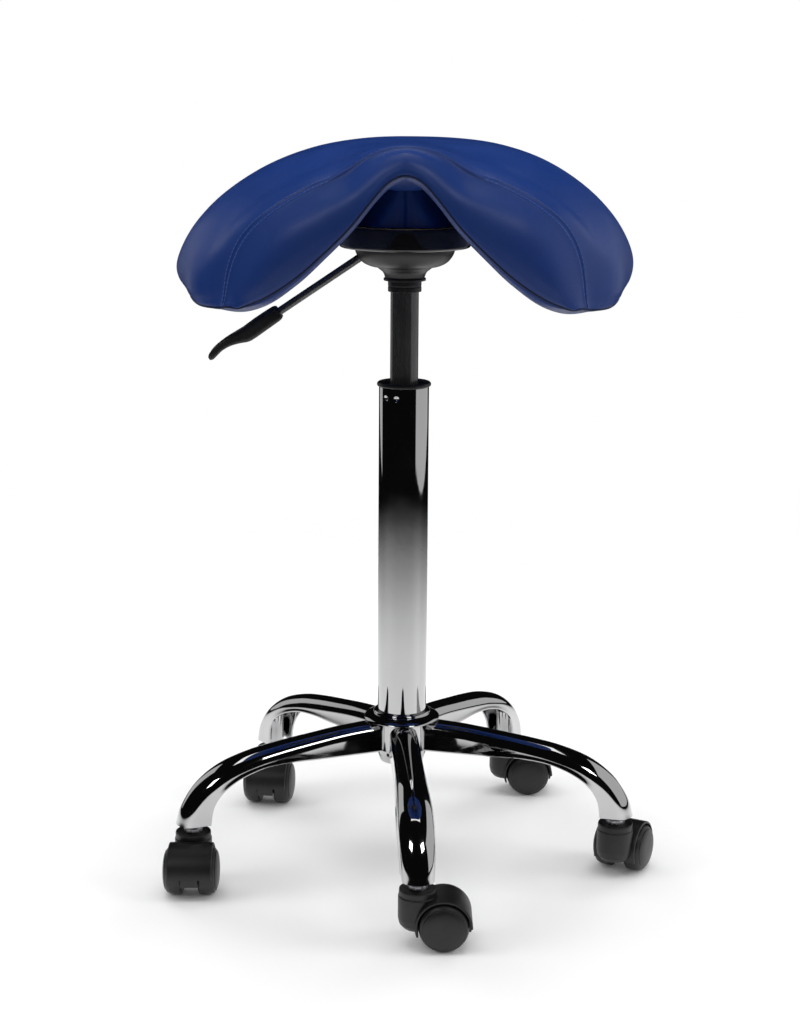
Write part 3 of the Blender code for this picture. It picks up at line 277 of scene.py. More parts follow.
def mesh_from(bm, name, sharp=40):
    bmesh.ops.remove_doubles(bm, verts=bm.verts, dist=0.000001)
    bmesh.ops.recalc_face_normals(bm, faces=bm.faces)
    mesh = bpy.data.meshes.new(name)
    bm.to_mesh(mesh)
    bm.free()
    return smoothed(mesh, sharp)


def show(obj, body, material, nodes=()):
    """Gives a piece its finish, rides it on its body and lets it stand for its CAD nodes."""
    obj.data.materials.clear()
    obj.data.materials.append(material)
    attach(obj, body)
    if nodes:
        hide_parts(*nodes)


def beside(radius, height, steps):
    """Points of a profile, written in millimetres out from this radius and up from this height."""
    return [(radius + out * MM, height + up * MM) for out, up in steps]


def rounded(profile, radius, steps=3):
    """The profile of a ring, with each corner turned into an arc of about this radius."""
    smooth = []
    count = len(profile)
    points = [Vector((x, z)) for x, z in profile]
    for i, corner in enumerate(points):
        if corner.x <= 0:
            smooth.append(corner)
            continue
        sides = (points[i - 1] - corner, points[(i + 1) % count] - corner)
        start, end = (corner + side.normalized() * min(radius, 0.45 * side.length) for side in sides)
        for step in range(steps + 1):
            t = step / steps
            smooth.append(start * (1 - t) ** 2 + corner * 2 * t * (1 - t) + end * t**2)
    return [(p.x, p.y) for p in smooth]


def turned_mesh(name, profile, steps=ROUND, radius=0.0006, arcs=3):
    """Turns a closed profile of (radius, height) round the Z axis. It may end on the axis at both ends."""
    profile = rounded(profile, radius, arcs) if radius else profile
    bm = bmesh.new()
    verts = [bm.verts.new((x, 0, z)) for x, z in profile]
    edges = [bm.edges.new(pair) for pair in zip(verts, verts[1:])]
    if profile[0][0] > 0:
        edges.append(bm.edges.new((verts[-1], verts[0])))
    how = {"cent": (0, 0, 0), "axis": (0, 0, 1), "angle": 2 * math.pi, "steps": steps, "use_merge": True}
    bmesh.ops.spin(bm, geom=verts + edges, **how)
    return mesh_from(bm, name)


def weighted(obj):
    """Flat faces beside narrow roundings keep a flat shade."""
    obj.modifiers.new("weighted", "WEIGHTED_NORMAL").keep_sharp = True
    return obj


def turned(name, profile, **how):
    return weighted(add_mesh(name, turned_mesh(name, profile, **how)))


def applied(obj):
    """The object's mesh with its modifiers in it."""
    bpy.context.view_layer.update()
    mesh = bpy.data.meshes.new_from_object(obj.evaluated_get(bpy.context.evaluated_depsgraph_get()))
    obj.modifiers.clear()
    bm = bmesh.new()
    bm.from_mesh(mesh)
    bmesh.ops.remove_doubles(bm, verts=bm.verts, dist=0.000002)
    bmesh.ops.dissolve_degenerate(bm, edges=bm.edges, dist=0.000002)
    bm.to_mesh(mesh)
    bm.free()
    obj.data = mesh


def cut(obj, *others, operation="DIFFERENCE"):
    for other in others:
        set_all(obj.modifiers.new("cut", "BOOLEAN"), operation=operation, object=other)
    applied(obj)
    for other in others:
        bpy.data.objects.remove(other, do_unlink=True)


def box_object(name, low, high):
    bm = bmesh.new()
    low, high = Vector(low), Vector(high)
    place = Matrix.Translation((low + high) / 2) @ Matrix.Diagonal((*(high - low), 1))
    bmesh.ops.create_cube(bm, size=1, matrix=place)
    return add_mesh(name, mesh_from(bm, name))


def refined(rows, between):
    """Catmull-Rom through the rows, with this many steps in each span."""
    rows = np.array(rows, float)
    padded = np.vstack([2 * rows[0] - rows[1], rows, 2 * rows[-1] - rows[-2]])
    fine = []
    for i in range(1, len(padded) - 2):
        a, b, c, d = padded[i - 1 : i + 3]
        square, cube = 2 * a - 5 * b + 4 * c - d, 3 * b - a - 3 * c + d
        for t in np.linspace(0, 1, between, endpoint=False):
            fine.append(0.5 * (2 * b + (c - a) * t + square * t**2 + cube * t**3))
    return np.array(fine + [rows[-1]])


def lengths(line):
    """Distance along a line of points, up to each of them."""
    return np.concatenate([[0], np.cumsum(np.linalg.norm(np.diff(line, axis=0), axis=1))])


def through(points, count):
    """This many points, evenly spaced, on a smooth curve through the given ones."""
    dense = refined(points, 16)
    along = lengths(dense)
    wanted = np.linspace(0, along[-1], count)
    return np.stack([np.interp(wanted, along, column) for column in dense.T], 1)


def bridged(bm, near, far):
    """Faces between two rings of the same length."""
    for i, vert in enumerate(near):
        after = (i + 1) % len(near)
        bm.faces.new((vert, near[after], far[after], far[i]))


def loft(name, sections, sharp=40):
    """A solid through closed sections of equal, even length, capped by rungs across its ends."""
    bm = bmesh.new()
    rings = [[bm.verts.new(point) for point in section] for section in sections]
    count = len(rings[0])
    for near, far in zip(rings, rings[1:]):
        bridged(bm, near, far)
    for ring in (rings[0], rings[-1]):
        for i in range(count // 2 - 1):
            bm.faces.new((ring[i], ring[i + 1], ring[count - 2 - i], ring[count - 1 - i]))
    return add_mesh(name, mesh_from(bm, name, sharp))


def tube_mesh(name, path, radius, sides=12, closed=False):
    """A round tube along a list of points, with a frame carried along it so that it doesn't twist."""
    count = len(path)
    rings = []
    bm = bmesh.new()
    across = None
    for i, point in enumerate(path):
        before = path[i - 1] if i or closed else point
        after = path[(i + 1) % count] if i < count - 1 or closed else point
        forward = (after - before).normalized()
        if across is None:
            across = forward.orthogonal().normalized()
        across = (across - forward * across.dot(forward)).normalized()
        up = forward.cross(across)
        angles = [2 * math.pi * k / sides for k in range(sides)]
        spokes = [across * math.cos(angle) + up * math.sin(angle) for angle in angles]
        rings.append([bm.verts.new(point + radius * spoke) for spoke in spokes])
    pairs = list(zip(rings, rings[1:]))
    if closed:
        # The frame has turned a little by the time it is back, so the last ring is matched to the first.
        first = min(range(sides), key=lambda k: (rings[0][k].co - rings[-1][0].co).length)
        pairs.append((rings[-1], rings[0][first:] + rings[0][:first]))
    else:
        bm.faces.new(rings[0])
        bm.faces.new(rings[-1])
    for near, far in pairs:
        bridged(bm, near, far)
    return mesh_from(bm, name)


def spans(node):
    """Radius, lowest and highest point of a CAD node that is turned about the column's axis."""
    low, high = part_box(node)
    return high.x, low.z, high.z


def centre(node):
    low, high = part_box(node)
    return (low + high) / 2


# ---- base

TUBE_RADIUS, TUBE_BOTTOM, TUBE_TOP = spans("column_tube")
HUB_RADIUS, HUB_BOTTOM, HUB_TOP = spans("base_hub")
COLLAR_RADIUS, COLLAR_BOTTOM, COLLAR_TOP = spans("hub_collar")
STEMS = {k: centre(f"caster_stem_{k}") for k in CASTERS}
REACH = Vector((STEMS[1].x, STEMS[1].y)).length
ARM_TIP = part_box("stem_socket_1")[0].z
SOCKET_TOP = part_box("stem_socket_1")[1].z
ARM_ROOT = HUB_RADIUS + CLEARANCE
ARM_ROOT_DEPTH = 0.0300
ARM_HALF_WIDTHS = (0.0150, 0.0151, 0.0156, 0.0163, 0.0172, 0.0182, 0.0184, 0.0174, 0.0162)
ARM_WALL = 0.0020
SOCKET_RADIUS = 0.0122
SOCKET_BORE = 0.0058
SOCKET_SLANT = math.radians(37)
TUBE_WALL = 0.0015
TUBE_BORE = TUBE_RADIUS + CLEARANCE
CRIMP_ANGLES = [math.radians(a) for a in (-46, -17.5)]
CRIMP_BELOW_RIM = 0.0100
CRIMP_RADIUS = 0.0030
CRIMP_DEPTH = 0.0014


def make_hub():
    chamfer = 0.0022
    profile = [(HUB_RADIUS, HUB_TOP), (HUB_RADIUS, HUB_BOTTOM + chamfer), (HUB_RADIUS - chamfer, HUB_BOTTOM)]
    profile += [(TUBE_BORE, HUB_BOTTOM), (TUBE_BORE, HUB_TOP)]
    show(turned("hub_ring", profile), "base", CHROME, ["base_hub"])


def make_collar():
    """Stepped ring: a thin bead round the tube, a step, and a skirt that flares over the arms' roots."""
    bead = [(2.2, 1), (3.6, 0.88), (4.0, 0.66), (6.2, 0.58)]
    skirt = [(-4.6, 0.46), (-1.6, 0.30), (0, 0.12), (-0.5, 0)]
    tall = COLLAR_TOP - COLLAR_BOTTOM
    profile = [(TUBE_BORE + out * MM, COLLAR_BOTTOM + tall * share) for out, share in bead]
    profile += [(COLLAR_RADIUS + out * MM, COLLAR_BOTTOM + tall * share) for out, share in skirt]
    profile += [(TUBE_BORE, COLLAR_BOTTOM), (TUBE_BORE, COLLAR_TOP)]
    show(turned("collar_ring", profile, radius=0.0009), "base", CHROME, ["hub_collar"])


def arm_curve(root_height, beam, bend):
    """A line of the arm in its own plane: shares of the beam with their drop, then points beside the stem."""
    length = REACH - ARM_ROOT
    line = [(ARM_ROOT + share * length, 0, root_height - drop * MM) for share, drop in beam]
    return line + [(REACH + out * MM, 0, ARM_TIP + up * MM) for out, up in bend]


def channel(spine, edge, half_width, arcs=14):
    """Section of the channel: a round crown, nearly straight sides and a bead along each lower edge."""
    spine, edge = Vector(spine), Vector(edge)
    height = (spine - edge).length
    up = (spine - edge) / height
    side = Vector((0, 1, 0))
    crown = 0.80 * half_width

    def arch(width, rise, top, bead):
        outline = [(-width - bead, 0.0), (-width - bead, 0.0016), (-width, 0.0034)]
        for i in range(arcs + 1):
            angle = math.pi * (1 - i / arcs)
            outline.append((width * math.cos(angle), top - rise + rise * math.sin(angle)))
        return outline + [(width, 0.0034), (width + bead, 0.0016), (width + bead, 0.0)]

    outer = arch(half_width - 0.0006, crown, height, 0.0006)
    inner = arch(half_width - ARM_WALL, crown - ARM_WALL * 0.4, height - ARM_WALL, 0)
    return [edge + side * a + up * b for a, b in outer + inner[::-1]]


def on_each_arm(shape, name, node):
    """Copies a piece that is made on the +X axis to all five arms."""
    for k in CASTERS:
        piece = add_mesh(f"{name}_{k}", shape.data.copy())
        piece.rotation_euler.z = math.atan2(STEMS[k].y, STEMS[k].x)
        show(piece, "base", CHROME, [f"{node}_{k}"])
    bpy.data.objects.remove(shape, do_unlink=True)


def make_arms():
    """Channel arms: nearly level from the hub, then bent down to the stems."""
    spine = arm_curve(
        HUB_TOP,
        [(0, 0), (0.175, 2.3), (0.356, 6.5), (0.536, 11.2), (0.696, 17.0)],
        [(-28.0, 57.0), (-4.0, 39.8), (11.5, 18.2), (17.2, 0)],
    )
    edge = arm_curve(
        HUB_TOP - ARM_ROOT_DEPTH,
        [(0, 0), (0.175, 0), (0.356, -0.2), (0.500, -0.8), (0.640, 1.6)],
        [(-45.5, 45.5), (-27.0, 33.5), (-17.0, 18.5), (-14.0, 0)],
    )
    widths = refined([(width,) for width in ARM_HALF_WIDTHS], 7)[:, 0]
    sections = [channel(*row) for row in zip(refined(spine, 7), refined(edge, 7), widths)]
    sections[0] = [Vector((math.sqrt(ARM_ROOT**2 - p.y**2), p.y, p.z)) for p in sections[0]]
    shape = loft("arm_shape", sections, sharp=50)
    bevel = shape.modifiers.new("soften", "BEVEL")
    set_all(bevel, width=0.0005, segments=2, limit_method="ANGLE", angle_limit=math.radians(50))
    bevel.harden_normals = True
    shape.data.shade_smooth()
    applied(shape)
    on_each_arm(shape, "chrome_arm", "base_arm")


def make_sockets():
    """Tubes welded into the arms' tips, cut on a slant under the crown."""
    profile = [(SOCKET_RADIUS, SOCKET_TOP), (SOCKET_RADIUS, ARM_TIP), (SOCKET_BORE, ARM_TIP)]
    profile += [(SOCKET_BORE, SOCKET_TOP)]
    tube = add_mesh("socket_shape", turned_mesh("socket_shape", profile, steps=48, radius=0.0007))
    slant = box_object("slant", (0, -0.05, 0), (0.10, 0.05, 0.10))
    slant.data.transform(Matrix.Rotation(-SOCKET_SLANT, 4, "Y"))
    slant.data.transform(Matrix.Translation((SOCKET_RADIUS, 0, ARM_TIP + 0.0060)))
    cut(tube, slant)
    tube.data.transform(Matrix.Translation((REACH, 0, 0)))
    smoothed(tube.data, 40)
    on_each_arm(tube, "arm_socket", "stem_socket")


def make_column():
    """Column tube, with two crimps pressed in below its rim that hold the bush."""
    foot, hole = TUBE_RADIUS - 0.0025, 0.0075
    profile = [(TUBE_RADIUS, TUBE_TOP - 0.0006 * i) for i in range(36)]
    profile += [(TUBE_RADIUS, TUBE_BOTTOM + 0.0080), (foot, TUBE_BOTTOM), (hole, TUBE_BOTTOM)]
    profile += [(hole, TUBE_BOTTOM + 0.0025), (foot - TUBE_WALL, TUBE_BOTTOM + 0.0025)]
    profile += [(TUBE_RADIUS - TUBE_WALL, TUBE_BOTTOM + 0.0105), (TUBE_RADIUS - TUBE_WALL, TUBE_TOP)]
    mesh = turned_mesh("column", profile, steps=256, radius=0.0004, arcs=2)
    for vert in mesh.vertices:
        place = Vector(vert.co)
        if abs(Vector((place.x, place.y)).length - TUBE_RADIUS) > 0.0003:
            continue
        for angle in CRIMP_ANGLES:
            across = TUBE_RADIUS * math.remainder(math.atan2(place.x, -place.y) - angle, 2 * math.pi)
            apart = math.hypot(across, place.z - (TUBE_TOP - CRIMP_BELOW_RIM))
            if apart < CRIMP_RADIUS:
                sink = CRIMP_DEPTH * (1 - (apart / CRIMP_RADIUS) ** 2) ** 1.4
                vert.co.x *= 1 - sink / TUBE_RADIUS
                vert.co.y *= 1 - sink / TUBE_RADIUS
    show(add_mesh("column", mesh), "base", CHROME, ["column_tube"])


def make_bush():
    """Guide bush: a lipped flange on the tube's rim, with a shallow dish round the lift."""
    rim, low, top = spans("guide_bush")
    seat = TUBE_TOP + CLEARANCE
    sleeve = TUBE_RADIUS - TUBE_WALL - CLEARANCE
    profile = beside(LIFT_BORE, top, [(1.2, -1.6), (4.0, -2.0)])
    profile += beside(rim, top, [(-5.2, -1.2), (-4.2, 0), (-1.2, 0), (0, -1.4)])
    profile += beside(rim, seat, [(0, 0.9), (-0.9, 0)])
    profile += [(sleeve, seat), (sleeve, low), (LIFT_BORE, low), (LIFT_BORE, top - 0.0026)]
    show(turned("bush_flange", profile, radius=0.0005), "base", NYLON, ["guide_bush"])


# ---- lift and mechanism

CYLINDER_RADIUS, CYLINDER_BOTTOM, CYLINDER_TOP = spans("gas_cylinder")
LIFT_BORE = CYLINDER_RADIUS + CLEARANCE
NECK_RADIUS, NECK, NECK_TOP = spans("neck_collar")
BOWL_RADIUS, BOWL_BOTTOM, BOWL_TOP = spans("mechanism_housing")
BOWL_BORE = 0.0171
PLATE_RADIUS, PLATE_BOTTOM, PLATE_TOP = spans("mounting_plate")
PLATE_HANG = 0.0034
LEVER_RADIUS = 0.0040
LEVER_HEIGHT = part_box("lever_rod")[1].z - LEVER_RADIUS
LEVER_SLOPE = math.radians(34)
LEVER_BEND_X = -0.0400
LEVER_BEND_RADIUS = 0.0140
GRIP_START_X = -0.1240
# Along the lever, in millimetres: place, upper and lower height, half width, and dish in the upper face.
GRIP_ROWS = [
    (0, 6.2, -6.2, 9.2, 0), (3.0, 7.5, -7.5, 10.8, 0), (12.0, 7.9, -7.9, 11.7, 0),
    (24.0, 7.9, -8.2, 12.0, 0), (33.0, 7.9, -8.4, 12.1, 0.6), (41.0, 8.0, -7.8, 12.2, 2.4),
    (50.0, 8.2, -4.0, 12.2, 4.2), (59.0, 8.3, -1.2, 12.2, 4.6), (68.0, 7.8, -0.6, 12.0, 4.0),
    (75.0, 6.8, -1.8, 11.6, 3.0), (80.5, 5.0, -2.8, 10.6, 1.2), (83.5, 2.2, -1.8, 8.8, 0),
]


def make_cylinder():
    bore, cap, hole = CYLINDER_RADIUS - 0.0018, CYLINDER_TOP - 0.0090, 0.0031
    profile = [(CYLINDER_RADIUS - 0.0010, CYLINDER_TOP), (CYLINDER_RADIUS, NECK_TOP)]
    profile += [(CYLINDER_RADIUS, CYLINDER_BOTTOM), (bore, CYLINDER_BOTTOM), (bore, cap), (hole, cap)]
    profile += [(hole, CYLINDER_TOP)]
    show(turned("lift_cylinder", profile), "seat", DARK_STEEL, ["gas_cylinder"])


def make_neck():
    profile = [(NECK_RADIUS, NECK_TOP)]
    profile += beside(NECK_RADIUS, (NECK + NECK_TOP) / 2, [(0, 0.8), (-0.4, 0), (0, -0.8)])
    profile += [(NECK_RADIUS, NECK), (LIFT_BORE, NECK), (LIFT_BORE, NECK_TOP)]
    show(turned("neck_ring", profile, radius=0.0004), "seat", NYLON, ["neck_collar"])


def make_bowl():
    """Bowl cover: a lipped neck that flares through a hollow curve into a round-shouldered bowl."""
    neck = BOWL_BORE + 0.0024
    shoulder = [(0, -2.2), (-1.2, -8.0), (-4.0, -13.5), (-8.5, -18.2), (-15.0, -21.4), (-21.5, -22.8)]
    outside = beside(BOWL_RADIUS, BOWL_TOP, shoulder)
    outside += beside(neck, BOWL_TOP, [(6.2, -24.6), (2.2, -27.8), (0.4, -31.8)])
    inside = beside(BOWL_BORE, BOWL_TOP, [(0, -29.0), (6.4, -22.6)])
    shoulder = [(-22.0, -20.2), (-16.0, -18.8), (-10.8, -16.0), (-6.2, -11.2), (-3.4, -6.0), (-2.4, 0)]
    inside += beside(BOWL_RADIUS, BOWL_TOP, shoulder)
    lip = beside(neck, BOWL_BOTTOM, [(0, 3.0), (1.4, 2.2), (1.4, 0)])
    profile = [(BOWL_RADIUS, BOWL_TOP), *through(outside, 26), *lip, (BOWL_BORE, BOWL_BOTTOM)]
    profile += [*through(inside, 18)]
    bowl = add_mesh("mechanism_bowl", turned_mesh("mechanism_bowl", profile, radius=0.0004, arcs=2))
    half = LEVER_RADIUS + 0.0018
    low = (-1.2 * BOWL_RADIUS, -half, LEVER_HEIGHT - LEVER_RADIUS - 0.0050)
    cut(bowl, box_object("window", low, (-0.6 * BOWL_RADIUS, half, LEVER_HEIGHT + LEVER_RADIUS + 0.0030)))
    smoothed(bowl.data, 40)
    show(bowl, "seat", COVER_PLASTIC, ["mechanism_housing"])


def make_plate():
    """Pressed dish under the seat, with a full round shoulder and a rolled rim that hangs round the bowl."""
    rim, low, top = PLATE_RADIUS, PLATE_BOTTOM, PLATE_TOP
    hang = low - PLATE_HANG
    shoulder = [(-2.8, -0.2), (-1.6, -2.2), (-0.9, -6.0), (-0.3, -11.5), (0, -16.5), (-0.1, -19.5)]
    outside = beside(rim, top, shoulder) + [(rim - 0.0012, hang + 0.0004)]
    profile = [(0, low + 0.0040), (rim - 0.0035, low + 0.0040), (rim - 0.0035, top - 0.0008)]
    profile += [(rim - 0.0033, top), *through(outside, 22)]
    profile += [(rim - 0.0022, hang), (rim - 0.0062, hang), (rim - 0.0080, low), (0, low)]
    plate = turned("seat_plate", profile, radius=0.0004, arcs=2)
    show(plate, "seat", ENAMEL, ["mounting_plate"])


def lever_place(along, up, across=0.0):
    """A point beside the sloping part of the lever: this far along it from the grip's start."""
    down = Vector((-math.cos(LEVER_SLOPE), 0, -math.sin(LEVER_SLOPE)))
    normal = Vector((-math.sin(LEVER_SLOPE), 0, math.cos(LEVER_SLOPE)))
    from_bend = along + (LEVER_BEND_X - GRIP_START_X) / math.cos(LEVER_SLOPE)
    return Vector((LEVER_BEND_X, across, LEVER_HEIGHT)) + down * from_bend + normal * up


def make_lever_rod():
    turn = LEVER_BEND_RADIUS * math.tan(LEVER_SLOPE / 2)
    middle = Vector((LEVER_BEND_X + turn, 0, LEVER_HEIGHT - LEVER_BEND_RADIUS))
    path = [Vector((0, 0, LEVER_HEIGHT)), Vector((-0.0150, 0, LEVER_HEIGHT))]
    for angle in np.linspace(0, LEVER_SLOPE, 13):
        path.append(middle + LEVER_BEND_RADIUS * Vector((-math.sin(angle), 0, math.cos(angle))))
    path += [lever_place(-0.03, 0), lever_place(0.028, 0)]
    rod = add_mesh("lever_bar", tube_mesh("lever_bar", path, LEVER_RADIUS, 28))
    show(rod, "lever", DARK_STEEL, ["lever_rod"])


def make_lever_grip():
    """Paddle grip: a blunt collar and a spoon with raised rims, thin towards its round tip."""
    sections = []
    for along, top, bottom, half, dish in refined(GRIP_ROWS, 4) * MM:
        middle, tall = (top + bottom) / 2, (top - bottom) / 2
        section = []
        for i in range(48):
            angle = 2 * math.pi * i / 48
            # A squared oval, so that the faces stay flat and the long edges stay round.
            c, s = math.cos(angle), math.sin(angle)
            square = (abs(c) ** 5 + abs(s) ** 5) ** (-1 / 5)
            across = c * square
            dip = dish * max(0.0, 1 - (across / 0.8) ** 4) if s > 0 else 0.0
            section.append(lever_place(along, middle + tall * s * square - dip, half * across))
        sections.append(section)
    grip = loft("paddle_grip", sections, sharp=60)
    show(grip, "lever", GRIP_PLASTIC, ["lever_grip"])


# ---- casters

WHEEL_RADIUS = (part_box("wheel_left_1")[1].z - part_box("wheel_left_1")[0].z) / 2
AXLE_HEIGHT = FLOOR + WHEEL_RADIUS
TOWER_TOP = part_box("caster_hood_1")[1].z
HOOD_WALL = 0.0020
HOOD_GAP = 0.0012
HOOD_HALF_WIDTH = 0.0220
WEB_HALF_WIDTH = 0.0075
WHEEL_OUTER_FACE = 0.0283
TOWER_RADIUS = 0.0185
TOWER_SKIRT = FLOOR + 0.0154
SHELL_EDGE = FLOOR + 0.0235
STEM_HOLE_RADIUS = 0.0062
STEM_HOLE_DEPTH = 0.0233
AXLE_RADIUS = 0.0030


def wheel_centre(k):
    return (centre(f"wheel_left_{k}") + centre(f"wheel_right_{k}")) / 2


TRAIL = Vector((wheel_centre(1).x - STEMS[1].x, wheel_centre(1).y - STEMS[1].y)).length


def disc(name, radius, low, high, steps=ROUND, soft=0.0):
    profile = [(0, high), (radius, high), (radius, low), (0, low)]
    return add_mesh(name, turned_mesh(name, profile, steps=steps, radius=soft, arcs=4))


def about_axle(name, radius, low, high, soft=0.0):
    """A disc round the axle of a caster that trails towards +X."""
    obj = disc(name, radius, low, high, soft=soft)
    obj.data.transform(Matrix.Rotation(math.radians(90), 4, "X"))
    obj.data.transform(Matrix.Translation((TRAIL, 0, AXLE_HEIGHT)))
    return obj


def hood_mesh():
    """Caster hood about its stem, trailing towards +X: tower, web and a shell over both wheels."""
    inner = WHEEL_RADIUS + HOOD_GAP
    drum = about_axle("drum", inner + HOOD_WALL, -HOOD_HALF_WIDTH, HOOD_HALF_WIDTH, soft=0.0012)
    crown = [(-1.2, 0), (-0.8, -1.4), (-0.8, -6.2), (0, -7.0)]
    skirt = [(0, 12.0), (-1.2, 6.2), (-4.8, 2.0), (-10.5, -0.2)]
    profile = [(0, TOWER_TOP)] + beside(TOWER_RADIUS, TOWER_TOP, crown)
    profile += beside(TOWER_RADIUS, TOWER_SKIRT, skirt) + [(0, TOWER_SKIRT - 0.0006)]
    cut(drum, add_mesh("tower", turned_mesh("tower", profile, radius=0.0008)), operation="UNION")
    spaces = []
    for side in (-1, 1):
        near, far = sorted((side * WEB_HALF_WIDTH, side * 2 * HOOD_HALF_WIDTH))
        spaces.append(about_axle(f"space{side}", inner, -far, -near))
        # The shell stops at the axle's height behind the wheels, and the web goes on below it.
        low, high = sorted((side * (WEB_HALF_WIDTH + 0.0010), side * 0.05))
        spaces.append(box_object(f"edge{side}", (TRAIL + 0.0004, low, -0.2), (0.2, high, SHELL_EDGE)))
    spaces.append(box_object("below", (-0.1, -0.1, -0.2), (0.1, 0.1, TOWER_SKIRT)))
    for space in spaces:
        cut(drum, space)
    cut(drum, disc("stem_hole", STEM_HOLE_RADIUS, TOWER_TOP - STEM_HOLE_DEPTH, TOWER_TOP + 0.01, SMALL_ROUND))
    mesh = smoothed(drum.data, 32)
    bpy.data.objects.remove(drum, do_unlink=True)
    return mesh


def wheel_mesh(side):
    """One wheel about its own axle: flat tread, rounded shoulder, ring groove and a bulging cap."""
    inner, outer = WEB_HALF_WIDTH + 0.0006, WHEEL_OUTER_FACE
    bore = AXLE_RADIUS + CLEARANCE

    def face(steps):
        """Points of the outer face: share of the radius, and millimetres in from the cap."""
        return [(WHEEL_RADIUS * share, outer - deep * MM) for share, deep in steps]

    profile = [(0, outer), *through(face([(0.04, 0), (0.40, 0.5), (0.66, 1.5), (0.82, 2.9)]), 10)]
    profile += face([(0.84, 4.2), (0.87, 4.0), (0.935, 5.4), (0.985, 8.2), (1, 11.8)])
    profile += beside(WHEEL_RADIUS, inner, [(0, 1.5), (-1.5, 0)])
    profile += [(bore, inner), (bore, outer - 0.0057), (0, outer - 0.0057)]
    mesh = turned_mesh(f"wheel_{side}", profile, radius=0.0005)
    mesh.transform(Matrix.Rotation(math.radians(-90 * side), 4, "X"))
    return mesh


def make_casters():
    hood = hood_mesh()
    wheels = {"left": wheel_mesh(1), "right": wheel_mesh(-1)}
    for k in CASTERS:
        middle = wheel_centre(k)
        away = middle - STEMS[k]
        turn = Matrix.Rotation(math.atan2(away.y, away.x), 4, "Z")
        piece = add_mesh(f"caster_cover_{k}", hood.copy())
        piece.matrix_world = Matrix.Translation((STEMS[k].x, STEMS[k].y, 0)) @ turn
        show(piece, f"caster_{k}", NYLON, [f"caster_hood_{k}"])
        for side, mesh in wheels.items():
            wheel = weighted(add_mesh(f"caster_wheel_{side}_{k}", mesh.copy()))
            wheel.matrix_world = Matrix.Translation((middle.x, middle.y, AXLE_HEIGHT)) @ turn
            show(wheel, f"wheels_{k}", TREAD, [f"wheel_{side}_{k}"])


# ---- saddle
#
# Outlines of the right half, in millimetres: x outward, y towards the rear, z above the plate's rim.
# The cover is a front band, a domed top and an underside. Band and top meet in a stitched seam, and
# both meet the underside in a piped edge that runs all round.

HALF_COLUMNS = 56  # across half of the saddle in the shape that is simulated
SIM_STEP = 7.0 * MM
FINE_STEP = 3.0 * MM
SEAM_STEP = 0.9 * MM
COLUMN_SPLIT = 2
SEAM_REACH = 6.0 * MM
BAND_SHARES = (0.84, 0.68, 0.52, 0.36, 0.18)
PUFF_LIMIT = 4.0 * MM
CLOTH_FRAMES = 20
PIPING_RADIUS = 1.0 * MM
STITCH_LENGTH = 3.0 * MM
STITCH_PITCH = 4.3 * MM
STITCH_RADIUS = 0.42 * MM
STITCH_OFFSET = 2.4 * MM
FIRST_STITCH_X = 0.070
LEAN = 4.0 * MM  # the right half is stuffed a little fuller than the left
LEAN_X = 0.17  # where the lean is at its fullest

FRONT_EDGE = [
    (0, -174, 57), (15, -174, 51), (29, -174, 36), (50, -173, 10), (74, -171, -14), (99, -167, -36),
    (126, -160, -54), (152, -148, -66),
]
SEAM = [
    (0, -148, 81), (30, -149, 75), (59, -150, 58), (90, -151, 45), (122, -151, 27), (147, -147, 4),
    (161, -141, -26), (168, -131, -67),
]
TOP_ROWS = [
    [(0, -105, 82), (34, -105, 78), (68, -105, 67), (103, -105, 54), (140, -104, 33), (172, -103, 6),
     (193, -102, -26), (198, -101, -53), (190, -100, -69)],
    [(0, -45, 82.5), (43, -45, 80.5), (85, -45, 74), (127, -45, 60), (167, -45, 36), (199, -45, 6),
     (214, -45, -25), (214, -45, -50), (206, -45, -67)],
    [(0, 20, 82.5), (48, 20, 81), (94, 20, 74), (140, 20, 57.5), (183, 20, 29), (212, 20, -4),
     (226, 20, -33), (224, 20, -53), (210, 20, -67)],
    [(0, 78, 82), (47, 78, 80.5), (93, 78, 73.5), (138, 78, 56.5), (180, 78, 28), (210, 78, -3),
     (223, 78, -29), (218, 78, -45), (203, 78, -54)],
    [(0, 132, 78), (44, 132, 76), (87, 132, 69), (129, 132, 52), (165, 132, 27), (189, 131, 2),
     (199, 130, -16), (197, 130, -27), (187, 129, -34)],
]
REAR_EDGE = [(0, 194, 26), (40, 193.5, 25), (80, 192, 21), (112, 187, 14), (139, 178, 4), (160, 166, -8)]
UNDER_ROWS = [
    [(0, -166, 53), (13, -166, 47.5), (26.5, -166, 33), (47.5, -165, 7), (71.5, -164, -17.5),
     (96, -162, -41), (123, -156, -61), (153, -146, -69)],
    [(0, -130, 48), (19, -130, 42), (34, -130, 27), (53, -130, 4), (86, -129, -27), (119, -127, -54),
     (150, -125, -71), (182, -124, -68)],
    [(0, -75, 41), (26, -75, 38), (41, -75, 24), (57, -75, 4), (88, -75, -25), (124, -75, -53),
     (162, -75, -71), (194, -75, -69)],
    [(0, 0, 39), (34, 0, 37), (52, 0, 16), (70, 0, 5), (106, 0, -22), (150, 0, -50),
     (180, 0, -70), (203, 0, -69)],
    [(0, 75, 36), (38, 75, 34), (62, 75, 18), (80, 75, 6), (112, 75, -18), (152, 75, -40),
     (184, 75, -53), (205, 75, -53)],
    [(0, 138, 30), (40, 138, 28), (70, 138, 20), (96, 138, 8), (122, 138, -6), (146, 137, -19),
     (166, 135, -28), (183, 134, -29)],
]


def saddle_row(points):
    """Half a row of the saddle in the frame's axes, with evenly spaced points."""
    whole = [(-x, y, z) for x, y, z in points[:0:-1]] + points
    row = through(whole, 2 * HALF_COLUMNS + 1)[HALF_COLUMNS:] * MM
    row[:, 2] += PLATE_TOP
    row[0, 0] = 0.0
    return row


